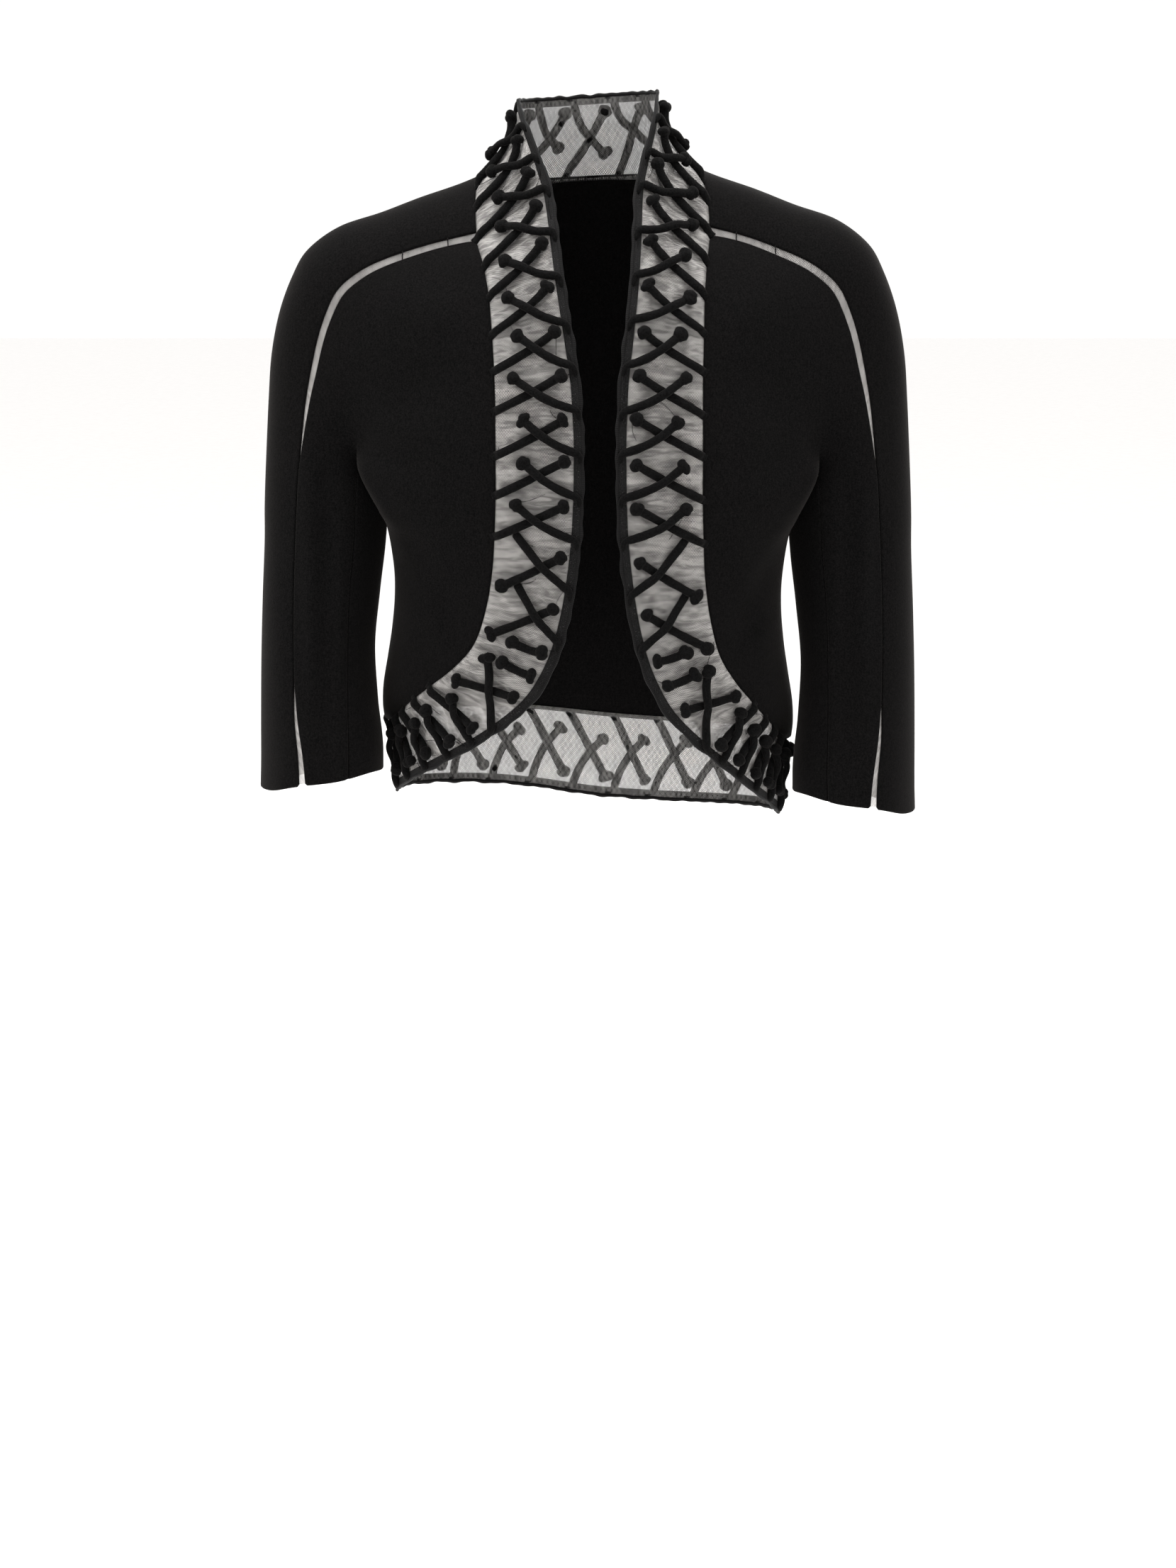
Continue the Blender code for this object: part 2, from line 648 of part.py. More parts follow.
def build_panels(side, tag):
    """Front, shoulder-and-sleeve, under-sleeve and insert of one side."""
    half = INSERT_WIDTH / 2
    sleeve, body = front_grids()
    upper = len(SHOULDER) + 1
    sleeve, body = trim_fold(pull_in(sleeve, front=half + SEAM_PULL), pull_in(body, back=SEAM_PULL),
                             upper)
    grids = [settle(mirrored(g, side)) for g in (sleeve, body)]
    cloth("front_" + tag, grids, (90 * side, 40, -200), CREPE_WALL, crepe)

    top = top_grid()
    trimmed = pull_in(top, front=half, back=SEAM_PULL, top=SEAM_PULL)
    cloth("sleeve_top_" + tag, [settle(mirrored(trimmed, side))], (190 * side, 0, -260),
          CREPE_WALL, crepe)

    under = pull_in(under_grid(), front=UNDER_PULL, back=UNDER_PULL, top=UNDER_PULL)
    cloth("sleeve_under_" + tag, [settle(mirrored(under, side))], (221 * side, -5, -400),
          CREPE_WALL, crepe)

    inward = top[:, 0] - top[:, 1]
    inward /= np.linalg.norm(inward, axis=1, keepdims=True)
    reach = half - TRIM_CLEAR
    strip = np.stack([top[:, 0] - inward * reach, top[:, 0], top[:, 0] + inward * reach], axis=1)
    strip = pull_in(strip, top=INSERT_START)
    cloth("insert_" + tag, [settle(mirrored(strip, side))], (190 * side, 60, -300),
          TULLE_WALL, sheer)


def trim_fold(sleeve, body, upper):
    """Open the slit below the armpit: both edges draw back from the under-sleeve panel."""
    sleeve[upper:] = pull_in(sleeve[upper:], back=SEAM_PULL)
    body[upper:] = pull_in(body[upper:], front=SEAM_PULL)
    return sleeve, body


def build_back():
    """The back, cut in one piece across both sleeves."""
    sleeve, body = back_grids()
    upper = len(SHOULDER) + 1
    sleeve = pull_in(sleeve, front=SEAM_PULL, top=SEAM_PULL)
    body = pull_in(body, top=SEAM_PULL, bottom=SEAM_PULL)
    sleeve, body = trim_fold(sleeve, body, upper)
    sleeve[:upper, -1] = body[:upper, 0]
    grids = [settle(mirrored(g, side)) for side in (1, -1) for g in (sleeve, body)]
    cloth("back", grids, (0, -60, -220), CREPE_WALL, crepe)


def build_bands(bands):
    """Tulle bands, and the bindings of the two fronts."""
    lengths = {"band_neck": full_round(bands["neck"]), "band_hem": full_round(bands["hem"]),
               "band_front_left": bands["front"], "band_front_right": other_side(bands["front"], -1)}
    for name, band in lengths.items():
        trimmed = pull_in(band_grid(band), front=SEAM_PULL, top=SEAM_PULL, bottom=SEAM_PULL)
        cloth(name, [settle(trimmed)], band.inside, TULLE_WALL, tulle)
    for name in ("band_front_left", "band_front_right"):
        binding(name.replace("band", "binding"), lengths[name])


def binding(name, band):
    """The narrow bound rim just beyond a band's free edge."""
    inner = np.array([band_point(band, row, 0.97) for row in range(len(band.edge))])
    step = band.edge - inner
    step /= np.linalg.norm(step, axis=1, keepdims=True)
    points = band.edge + step * (BINDING_RADIUS + TRIM_CLEAR)
    for end, next_in in ((0, 1), (-1, -2)):
        back = points[next_in] - points[end]
        points[end] += back / np.linalg.norm(back) * BINDING_RADIUS
    return tube(name, settle(points), [BINDING_RADIUS] * len(points), braid)


def build_crosses(bands):
    """The crossed cords of both fronts and the short bars at the curve."""
    draw = random.Random(SEED)
    for side, tag in ((1, "left"), (-1, "right")):
        band = other_side(bands["front"], side)
        for zone in FRONT_ZONES:
            for i, spot in enumerate(zone.places):
                cross("cross_%s_%s_%02d" % (zone.name, tag, i + 1), band, spot, zone, draw)
        for i, spot in enumerate(BAR_PLACES):
            points, radii = cord_path(band, spot, spot + BAR_LEAN, BAR_CORD, True, True)
            tube("bar_%s_%d" % (tag, i + 1), points, radii, cord)


def cross(name, band, spot, zone, draw, step_up=BINDING_STEP):
    """One cross: the knotted cord to the free edge lies over the one from the cloth seam."""
    def near(value):
        return value + draw.uniform(-CORD_JITTER, CORD_JITTER)
    over_run = [near(spot + offset) for offset in zone.over]
    under_run = [near(spot + offset) for offset in zone.under]
    free = isinstance(zone, Zone) and FREE_UNDER_FROM < spot < FREE_UNDER_TO
    over = cord_path(band, *over_run, OVER_CORD, True, False, step_up)
    under = cord_path(band, *under_run, FREE_UNDER_CORD if free else UNDER_CORD, free, True)
    made = tube(name, *over, cord)
    return sew_together(made, [tube(name + "_under", *under, cord)])


def build_back_trim(bands):
    """Binding and crosses of the neck and hem behind the shoulder and side lines, one solid each."""
    draw = random.Random(SEED + 1)
    for part, zone in (("neck", NECK_ZONE), ("hem", HEM_ZONE)):
        band = full_round(bands[part])
        rim = binding("trim_" + zone.name, band)
        first = (middle_run(band)[1][-1] - (zone.count - 1) * zone.pitch) / 2
        sew_together(rim, [cross("cross", band, first + i * zone.pitch, zone, draw, -TRIM_CLEAR)
                           for i in range(zone.count)])


for leftover in list(bpy.data.objects):
    bpy.data.objects.remove(leftover)
jacket = bpy.data.collections.new("Bolero jacket")
bpy.context.scene.collection.children.link(jacket)

crepe = material("black wool crepe", (0.010, 0.010, 0.011), 0.92)
tulle = material("black tulle", (0.030, 0.029, 0.030), 0.80)
sheer = material("sheer openwork insert", (0.045, 0.044, 0.046), 0.80)
cord = material("black stuffed cord", (0.009, 0.009, 0.010), 0.90)
braid = material("black binding", (0.014, 0.013, 0.014), 0.75)

band_runs = band_lines()
build_panels(1, "left")
build_panels(-1, "right")
build_back()
build_bands(band_runs)
build_crosses(band_runs)
build_back_trim(band_runs)
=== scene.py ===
"""Looks of a bolero jacket: black felted wool crepe with a sheer tulle band laced with knotted cords.

The form tables repeat the part's own, in millimetres, for the left half as worn. Every visible
piece is finer cloth, net, binding or cord made on that form, in metres, in the part's frame.
"""
import math
import random
from collections import namedtuple

import bmesh
import bpy
import numpy as np
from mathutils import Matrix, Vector


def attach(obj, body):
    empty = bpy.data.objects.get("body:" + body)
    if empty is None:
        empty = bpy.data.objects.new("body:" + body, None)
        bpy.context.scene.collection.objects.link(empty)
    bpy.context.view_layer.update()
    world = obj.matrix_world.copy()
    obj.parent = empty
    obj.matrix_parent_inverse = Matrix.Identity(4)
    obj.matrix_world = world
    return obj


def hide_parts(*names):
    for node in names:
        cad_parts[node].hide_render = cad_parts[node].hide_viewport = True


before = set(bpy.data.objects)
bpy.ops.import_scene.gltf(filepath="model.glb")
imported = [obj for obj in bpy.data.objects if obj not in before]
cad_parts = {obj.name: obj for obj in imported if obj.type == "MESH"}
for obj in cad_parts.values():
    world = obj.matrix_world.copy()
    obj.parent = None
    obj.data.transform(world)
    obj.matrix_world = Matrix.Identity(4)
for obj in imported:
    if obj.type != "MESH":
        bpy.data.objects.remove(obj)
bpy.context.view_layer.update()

MM = 0.001
SIDES = ((1, "left"), (-1, "right"))

# Cloth, seams and trim, in millimetres. A cuff hem turns by degrees, and beside its seams it draws
# back by a share. The insertion gapes by a share of its width at each height.
CREPE_WALL = 1.8
TULLE_WALL = 0.35
SEAM_PULL = 0.15
EDGE_ROUND = 1.9
SEAM_ALLOWANCE = ((0.9, 0.4), (3.0, 0.7))
HEM_ROUND = 1.9
HEM_TURNS = (30, 60, 90, 120, 150, 180)
HEM_DRAW = 0.5
HEM_DEPTH = (4.0, 9.0, 14.0)
INSERT_WIDTH = 4.6
INSERT_GAPES = ((-100, 1.25), (-160, 1.0), (-200, 0.5), (-235, 0.03), (-420, 0.03), (-450, 0.6),
                (-508, 1.2))
INSERT_UNDERLAP = 1.6
INSERT_DEPTH = 2.3
CORD_RADIUS = 3.45
BINDING_RADIUS = 1.55
BAND_WIDTH = 68.0
TURNED_EDGE = 6.0

# The hollow between sleeve and body: how far along a row its points are averaged and in what steps,
# and how far from the fold that reaches. Shares of the way from neck to armpit say where it begins,
# over how much it grows and how soon before the armpit it ends.
HOLLOW_EASE = 15.0
HOLLOW_STEP = 3.0
HOLLOW_REACH = 30.0
HOLLOW_FROM = 0.2
HOLLOW_GROWS = 0.25
HOLLOW_FADE = 0.2

# Spacing of the points of each cloth, with closer marks next to an edge, which draw together in a
# short row. An edge's heading is taken over a few columns, and the slit at the armpit opens within a
# part of a row. Points as close as this are merged.
CREPE_STEP = 3.5
TULLE_STEP = 1.9
EDGE_MARKS = np.array([0.0, 0.25, 0.7, 1.3, 2.0, 3.2, 5.0])
EDGE_SPAN = 3
SHORT_ROW = 30.0
LEAST_SLANT = 0.25
LEAST_COLUMNS = 4
LEAST_ROWS = 2
SLIT_OPENS = 0.25
CLOTH_MERGE = 0.01
CORD_MERGE = 0.002

# Points across each panel before its edges are cut.
TOP_COLUMNS = 64
SLEEVE_COLUMNS = 40
BODY_COLUMNS = 56
UNDER_COLUMNS = 48
UNDER_ROWS = 40
INSERT_COLUMNS = 7

# The body is a rounded box in plan. As worn it hangs lower on its left, and its fronts swing a
# little to that side between the sleeves.
BODY_SQUARENESS = 2.4
HANG_REACH = 80.0
SHOULDER_LIFT = 4.0
SIDE_DROP = 0.027
SWING = 0.078
SWING_FULL = 95.0
SWING_NONE = 170.0

Section = namedtuple("Section", "top front back")
Ring = namedtuple("Ring", "z cx cy rx ry insert_deg under_deg")
Fold = namedtuple("Fold", "side facing x0 z0 x1 z1 width depth")
Band = namedtuple("Band", "seam edge hollow inside")
Zone = namedtuple("Zone", "name places over under")
BackZone = namedtuple("BackZone", "name count pitch over under")
Lay = namedtuple("Lay", "start end bow")
CordEnd = namedtuple("CordEnd", "rise high wide")
Cut = namedtuple("Cut", "width length area held sewn_to")
Net = namedtuple("Net", "name dark light cell thread lean")
Lamp = namedtuple("Lamp", "name place size power")

# Shoulder sections from the neck band to the armpit: the points where each crosses the top
# line, the front insert and the back seam.
SHOULDER = (
    Section((90, 8, 0), (94, -52, -47), (84, 46, -5)),
    Section((132, 4, -15), (132, -53, -57), (130, 50, -42)),
    Section((169, 2, -29), (170, -52, -71), (169, 52, -64)),
    Section((204, 0, -41), (190, -51, -83), (190, 51, -80)),
    Section((230, 0, -60), (202, -50, -95), (202, 50, -94)),
    Section((243, -1, -82), (210, -50, -111), (210, 50, -111)),
    Section((254, -1, -112), (217, -50, -131), (217, 50, -131)),
    Section((261, -1, -147), (223, -50, -156), (223, 50, -156)),
    Section((264, -2, -185), (230, -50, -190), (230, 49, -190)),
)
UPPER = len(SHOULDER) + 1

# Sleeve rings from armpit to cuff. Degrees run from the front of the ring: out to the insert
# and in to the seam of the under-sleeve panel.
SLEEVE = (
    Ring(-240, 216.0, -2, 51.0, 54, 24, 33),
    Ring(-275, 217.5, -3, 51.0, 55, 25, 32),
    Ring(-305, 218.5, -3, 50.5, 56, 26, 32),
    Ring(-350, 222.0, -6, 49.0, 58, 24, 33),
    Ring(-400, 225.0, -10, 47.5, 59, 21, 36),
    Ring(-450, 224.0, -13, 49.0, 60, 20, 33),
    Ring(-485, 222.0, -16, 51.0, 61, 17, 30),
    Ring(-508, 222.0, -18, 51.5, 61, 15, 29),
)
CUFF_TILT = 8.5
CUFF_RISE = 5.0

# The cuff edge waves a little: so many waves round it, this high, faded up the sleeve by a power.
CUFF_WAVES = 5
CUFF_WAVE = 0.9
CUFF_WAVE_FADE = 4

# The armpit: the section from which its fold deepens, how far the sleeve rounds out beside the fold,
# how low the horseshoe seam hangs, and how far and by what power the tips of that seam drop.
FOLD_SECTION = 4
ARM_ROUND = 26.0
ARMPIT_DROP = 50.0
TIP_EASE = 3.0
TIP_POWER = 6

# Front lines above the armpit: the fold between sleeve and chest, the band seam and the band's
# free edge, a row for each shoulder section.
CHEST = (
    ((97, -55, -52), (93.5, -58, -54), (34, -63, -19)),
    ((114, -65, -63), (90, -74, -68), (32, -76, -42)),
    ((138, -74, -84), (86.5, -90, -92), (29, -92, -76)),
    ((154, -78, -104), (85, -100, -116), (25, -104, -108)),
    ((165, -79, -124), (84, -107, -140), (21, -112, -137)),
    ((173, -77, -146), (83.3, -111, -163), (17.5, -117, -162)),
    ((179, -73, -169), (83, -114, -186), (16, -120.5, -186)),
    ((183, -66, -193), (83, -115.5, -209), (15, -122.5, -209)),
    ((185.5, -56, -218), (83, -116, -231), (15, -123, -232)),
    (None, (83, -116, -255), (15.5, -123, -257)),
)

# Front lines below the armpit: the side seam, the band seam and the band's free edge. The
# first two rows still follow the horseshoe seam under the sleeve.
WAIST = (
    (None, (84, -115, -285), (17, -122, -288)),
    (None, (86, -112, -318), (21, -121, -323)),
    ((162, 6, -325), (91, -108, -350), (27, -119, -358)),
    ((161.5, 8, -352), (100, -101, -380), (37, -117, -392)),
    ((164, 10, -380), (115, -91, -402), (54, -112, -424)),
    ((168, 12, -406), (133, -76, -421), (80, -104, -450)),
    ((172, 14, -430), (150, -52, -440), (110, -86, -474)),
    ((173, 15, -448), (161, -20, -456), (140, -54, -498)),
    ((172, 16, -461), (165.5, 3, -463.5), (155, -22, -513)),
)
SIDE_HEM_SEAM = (169, 15, -466)
SIDE_HEM_EDGE = (161, -4, -522)

# Back lines: the fold between sleeve and shoulder blade, and the centre back as y and z.
BLADE = (
    ((58, 72, -4), 88, -4),
    ((92, 80, -30), 99, -32),
    ((122, 88, -60), 105, -62),
    ((142, 90, -88), 109, -92),
    ((156, 88, -114), 111, -122),
    ((166, 84, -138), 111, -150),
    ((174, 78, -163), 109, -178),
    ((180, 70, -190), 106, -206),
    ((184, 59, -217), 102, -233),
    (None, 98, -260),
)
LOWER_BACK = ((94, -290), (91, -318), (89.5, -345), (90, -370), (92, -393), (95, -414), (98, -434),
              (100, -453), (102, -466))

# The standing collar: free-edge points from the shoulder line down to the front insert, and the
# half ring of its top edge round the back of the neck.
COLLAR_EDGE = ((57, 4, 60), (52, -24, 40), (43, -43, 14), (36.5, -56, -6))
COLLAR_SHARES = (1.0, 0.62, 0.3, 0.0)
COLLAR_TOP = (57, 62, 60)
COLLAR_HOLLOW = 9.0
COLLAR_FADE = 7
NECK_AXIS_Y = 8.0
HEM_CENTRE = (0, 107, -536)

# Points of the bands' lines: shares of the way from the shoulder seam to the fold, steps from there
# to the centre back, the points of half a back hem, those tried to find the shoulder line, those for
# each row of a band when it is measured, and the step over which its slope is taken.
NECK_SHARES = (0.0, 0.4, 0.8)
NAPE_STEPS = (1, 3, 5, 7)
HEM_POINTS = 8
RIDGE_POINTS = 201
RUN_POINTS = 12
NORMAL_STEP = 0.05

# Points inside the jacket, in its left half or its middle, that each piece of cloth faces away from.
INSIDE = {
    "front": (90, 40, -200),
    "back": (0, -60, -220),
    "body": (90, 20, -250),
    "sleeve": (220, 0, -300),
    "sleeve_top": (190, 0, -260),
    "sleeve_under": (221, -5, -400),
    "insert": (190, 60, -300),
    "band_front": (40, 60, -200),
    "band_neck": (0, 20, 20),
    "band_hem": (0, 20, -490),
}

# Soft troughs (negative) and ridges from one x, z point to another, on the left as worn (1), on the
# right (-1) or on both (0), on the panels that face this way (-1 front, 1 back).
FOLD_FADE = 40.0
FOLD_END = 0.12
FOLDS = (
    Fold(0, -1, 196, -215, 128, -245, 20, -7.5),
    Fold(0, -1, 178, -205, 120, -150, 24, -4.5),
    Fold(0, -1, 150, -305, 112, -372, 18, -6.8),
    Fold(0, -1, 160, -395, 118, -300, 16, 4.5),
    Fold(0, -1, 212, -250, 216, -500, 10, -4.5),
    Fold(0, -1, 229, -200, 226, -430, 8, 3.8),
    Fold(0, 1, 190, -215, 90, -262, 24, -7.5),
    Fold(0, 1, 150, -320, 40, -345, 22, -6.0),
    Fold(0, 1, 215, -260, 220, -500, 12, -4.5),
    Fold(-1, -1, 190, -232, 150, -275, 9, -3.3),
    Fold(-1, -1, 176, -262, 140, -330, 8, 3.0),
    Fold(1, -1, 186, -236, 158, -262, 8, -3.6),
    Fold(1, -1, 168, -275, 126, -318, 11, 2.7),
    Fold(-1, -1, 138, -330, 122, -398, 9, 2.4),
    Fold(1, -1, 146, -352, 108, -376, 10, -2.7),
    Fold(1, -1, 238, -270, 232, -372, 9, -2.4),
    Fold(-1, -1, 240, -330, 236, -452, 10, -2.5),
    Fold(-1, -1, 205, -300, 204, -420, 8, 2.1),
    Fold(0, -1, 150, -95, 110, -120, 16, 1.8),
    Fold(1, 1, 176, -236, 128, -300, 10, -3.9),
    Fold(-1, 1, 180, -228, 118, -282, 12, -3.3),
    Fold(0, 1, 60, -120, 36, -300, 30, 3.3),
    Fold(1, 1, 110, -350, 96, -450, 16, 3.6),
    Fold(-1, 1, 84, -372, 104, -452, 14, -3.0),
    Fold(0, 1, 238, -250, 226, -420, 12, 2.7),
)

# Cords on the band, measured in millimetres along its middle from the shoulder line. Each cross
# is a cord with its knot by the cloth that runs over to the free edge, and one from the cloth seam
# up to a knot by the free edge. A zone gives the places of its crosses and how far along the band
# from there each cord starts and ends. Back zones are centred on the back.
FRONT_ZONES = (
    Zone("collar", (14, 44, 74), (-11, 11), (13, -13)),
    Zone("front", (108, 142, 177, 211, 245, 279, 313, 347, 389, 432), (-14, 13), (17, -15)),
    Zone("corner", (501,), (-33, 33), (4, -4)),
    Zone("hem", (537, 561, 585, 609, 633), (-15, 15), (-9, 1)),
)
BAR_PLACES = (450, 470)
NECK_ZONE = BackZone("neck_back", 5, 34, (-13, 13), (15, -15))
HEM_ZONE = BackZone("hem_back", 11, 36, (-14, 14), (16, -16))
CORD_JITTER = 1.3
SEED = 7

# How each cord lies: the shares of the band's width where it starts and ends, and its bow along
# the band. The crosses by the curve have a cord with a knot at both ends under the other, and the
# last two of the front start their upper cord on the cross before.
OVER_CORD = Lay(0.25, 0.985, 4.5)
UNDER_CORD = Lay(-0.045, 0.83, 0.5)
FREE_UNDER_CORD = Lay(0.13, 0.83, 0.5)
FREE_UNDER_FROM = 380
FREE_UNDER_TO = 520
TUCKED_START = -31
BAR_CORD = Lay(0.42, 0.84, 2.0)
BAR_LEAN = 4.0
KNOT_SCATTER = 0.06

# Cords: tubes of so many sides and rings, a little lower than wide, of a thickness that wanders, and
# just clear of the net. The upper cord of a cross lifts over the lower one and presses it flatter.
CORD_SIDES = 12
CORD_RINGS = 36
CORD_FLATNESS = 0.95
CORD_CLEAR = 0.4
CORD_SWELL = (9, 16)
CORD_TIP = 0.98
THICKNESS_WANDER = 0.035
CROSS_LIFT = 5.0
CROSS_REACH = 12.0
CROSS_PRESS = 0.22
PRESS_REACH = 0.6 * CROSS_REACH

# Ends of cords: one dives into the cloth seam, hooks along the rim or is tucked under a cross, and
# there has this rise off the net, this height and this width, or its own width for None.
SEAM_DIVE = 0.10
SEAM_UNDER = 0.02
HOOK_SHARE = 0.15
HOOK = 8.0
HOOK_TAPER = 13.0
HOOK_BLEND = 5
CORD_ENDS = {
    "seam": CordEnd(-1.0, 1.2, None),
    "rim": CordEnd(1.0, 1.7, 2.0),
    "tucked": CordEnd(2.0, 2.0, None),
}

# Knots: their half sizes along the cord, across it and off the cloth, for a round knot and for one
# with two lobes, the crease of the winding, and how size, lean, crease and lumps scatter. A knot sits
# on one ring of its cord, heads away from another, and the cord rises to it from so far off.
ROUND_KNOT = (5.6, 6.0, 5.3)
LOBED_KNOT = (4.7, 7.0, 5.0)
LOBED_SHARE = 0.3
KNOT_FINENESS = 3
KNOT_SIZES = (0.93, 1.05)
KNOT_LEAN = 0.5
KNOT_TILT = 0.3
ROUND_CREASE = 0.16
LOBED_CREASE = 0.24
CREASE_WIDTH = 0.24
ROUND_OFFSET = 0.45
LOBED_OFFSET = 0.1
KNOT_WAVES = 3
KNOT_RIPPLE = 3
KNOT_LUMPS = 0.045
KNOT_RING = 1
KNOT_HEADING = 5
KNOT_APPROACH = 14
PHASES = (0, 6)

# Sewing thread: bars across each insertion, at these x, and loose ends on the net by the knots.
THREAD_SIDES = 6
THREAD_UP = np.array([0.0, -1.0, 0.3])
THREAD_BARS = (116.0, 151.0)
BAR_RADIUS = 0.5
BAR_HALF = 4
BAR_RINGS = 5
THREAD_RADIUS = 0.22
LOOSE_THREADS = 34
LOOSE_RINGS = 14
LOOSE_LENGTHS = (9.0, 30.0)
LOOSE_CURL = 1.6
LOOSE_WITHIN = (0.04, 0.96)
LOOSE_LIFT = 1.0
LOOSE_RISE = (0, 2.5)

# The tulle is tucked under the cloth at its seam and lies flat under its turned edge, by shares of its
# width. Between them it hangs in slack waves, is drawn in where a cord is sewn down, and puckers in
# rays round each end of a cord.
TULLE_ALLOWANCE = 0.05
TUCK_DEPTH = 3.0
TUCK_FROM = -0.015
TUCK_OVER = 0.045
NET_LOOSE_OVER = 0.08
NET_FLAT_FROM = 1 - 1.1 * TURNED_EDGE / BAND_WIDTH
NET_FLAT_OVER = 0.07
SLACK = 0.28
SLACK_WAVES = 9
SLACK_LENGTHS = (13.0, 34.0)
STITCHED_IN = 0.8
STITCH_REACH = 2.8
STITCH_RINGS = 3
STITCH_NEAR = 60
PUCKER = 1.0
PUCKER_AT = 9.0
PUCKER_REACH = 6.0
PUCKER_RAYS = (5, 6, 7)

# The band's free edge: net turned over in two layers, and a rolled binding whose line and thickness
# wander in a few waves.
TURNED_COLUMNS = 6
TURNED_LIFT = 0.45
TURNED_WALL = 0.4
RIM_SIDES = 10
RIM_INNER = 0.97
RIM_OUT = 0.7
RIM_FLATNESS = 0.9
RIM_WAVES = 4
RIM_LENGTHS = (11, 40)
RIM_WANDER = 0.175
RIM_SWELL = 0.05

# Nets: the dark and light ends of their threads' streaks, cell and thread in millimetres, and the
# threads' lean in degrees. The tulle is black, but its outer side and the insertion have pale grey
# threads as painted light: the grey stands for the threads' sheen and for pale light seen through the
# net. The tulle's inner side keeps near-black threads, darker than its outer side, and leans otherwise.
OUTER_NET_PAINTED_LIGHT = Net("black nylon tulle", "#7a7775", "#bdbab6", 1.0, 0.26, 62)
INNER_NET = Net("black nylon tulle, inner side", "#141313", "#2b2a29", 1.1, 0.33, 48)
INSERT_NET_PAINTED_LIGHT = Net("openwork insertion", "#8d8a88", "#b0adaa", 1.0, 0.30, 62)

# The studio: floor, sky, camera and lamps, in metres.
FLOOR_Z = -1.094
FLOOR_SIZE = 30.0
FLOOR_PARTS = 8
SKY_COLOUR = "#fbfaf9"
SKY_STRENGTH = 1.06
CAMERA_PLACE = (0.0, -3.07, 0.061)
CAMERA_PITCH = 10.521
CAMERA_LENS = 85.0
SENSOR = 36.0
AIM = Vector((0.0, 0.0, -0.25))
LAMPS = (
    Lamp("left softbox", (-2.4, -1.2, 1.2), 2.2, 58.0),
    Lamp("right softbox", (2.4, -1.2, 1.2), 2.2, 42.0),
    Lamp("overhead softbox", (-0.2, -0.3, 2.3), 2.0, 125.0),
    Lamp("front softbox", (-0.4, -3.6, 0.9), 2.0, 10.0),
    Lamp("back softbox", (1.2, 2.8, 1.3), 2.2, 45.0),
)


def smooth(value):
    """Ease from 0 to 1."""
    value = np.clip(value, 0.0, 1.0)
    return value * value * (3 - 2 * value)


def lerp(a, b, s):
    """The value at a share of the way from a to b."""
    return np.asarray(a, float) * (1 - s) + np.asarray(b, float) * s


def unit(vectors):
    """The same vectors at length 1."""
    return vectors / np.maximum(np.linalg.norm(vectors, axis=-1, keepdims=True), 1e-9)


def as_points(*points):
    return [np.asarray(point, float) for point in points]


def mirrored(points, side):
    """The same points for side 1, and those of the other half for side -1."""
    return np.asarray(points, float) * np.array([side, 1, 1])


def either_way(draw, reach):
    """A random number from minus reach to reach."""
    return draw.uniform(-reach, reach)


def through_three(a, b, c):
    """The round arc from a through b to c, as a function of 0 to 1."""
    a, b, c = as_points(a, b, c)
    ab, ac = b - a, c - a
    normal = np.cross(ab, ac)
    offset = np.cross(normal, ab) * (ac @ ac) + np.cross(ac, normal) * (ab @ ab)
    centre = a + offset / (2 * normal @ normal)
    start = a - centre
    across = np.cross(unit(normal), start)
    end = c - centre
    sweep = math.atan2(end @ across, end @ start) % (2 * math.pi)
    return lambda s: centre + start * math.cos(sweep * s) + across * math.sin(sweep * s)


def through_fold(a, b, c):
    """The parabola from a through b to c, and the share of the way at which it meets b."""
    a, b, c = as_points(a, b, c)
    first, second = np.linalg.norm(b - a), np.linalg.norm(c - b)
    m = first / (first + second)

    def point(s):
        return (a * (s - m) * (s - 1) / m + b * s * (s - 1) / (m * (m - 1))
                + c * s * (s - m) / (1 - m))
    return point, m


def across_back(a, b, c):
    """The curve from a through b to c on the centre back, level there so both halves meet flat."""
    a, b, c = as_points(a, b, c)
    powers = np.array([[a[0] ** 2, a[0] ** 4], [b[0] ** 2, b[0] ** 4]])
    terms = np.linalg.solve(powers, np.array([a - c, b - c]))

    def point(s):
        x = a[0] * (1 - s)
        y, z = (c + x ** 2 * terms[0] + x ** 4 * terms[1])[1:]
        return np.array([x, y, z])
    return point, 1 - b[0] / a[0]


def wrap(side, middle, s):
    """A point on the rounded body between a side line and a line nearer its middle."""
    power = 2 / BODY_SQUARENESS
    turn = math.acos(min(1.0, (middle[0] / side[0]) ** (1 / power)))
    reach = (middle[1] - side[1]) / math.sin(turn) ** power
    x = side[0] * max(0.0, math.cos(turn * s)) ** power
    y = side[1] + reach * math.sin(turn * s) ** power
    return np.array([x, y, side[2] + (middle[2] - side[2]) * s])


def spline(points, places):
    """The smooth line through points, at places counted in points. A point may be a whole row."""
    points, places = as_points(points, places)
    ends = np.concatenate([[2 * points[0] - points[1]], points, [2 * points[-1] - points[-2]]])
    i = np.clip(places.astype(int), 0, len(points) - 2)
    t = (places - i).reshape(places.shape + (1,) * (points.ndim - 1))
    p0, p1, p2, p3 = (ends[i + k] for k in range(4))
    return 0.5 * (2 * p1 + (p2 - p0) * t + (2 * p0 - 5 * p1 + 4 * p2 - p3) * t * t
                  + (3 * p1 - p0 - 3 * p2 + p3) * t ** 3)


def ring_at(z):
    """The sleeve ring at one height, between the table's rings."""
    place = np.interp(-z, [-r.z for r in SLEEVE], range(len(SLEEVE)))
    return Ring(z, *spline([r[1:] for r in SLEEVE], place))


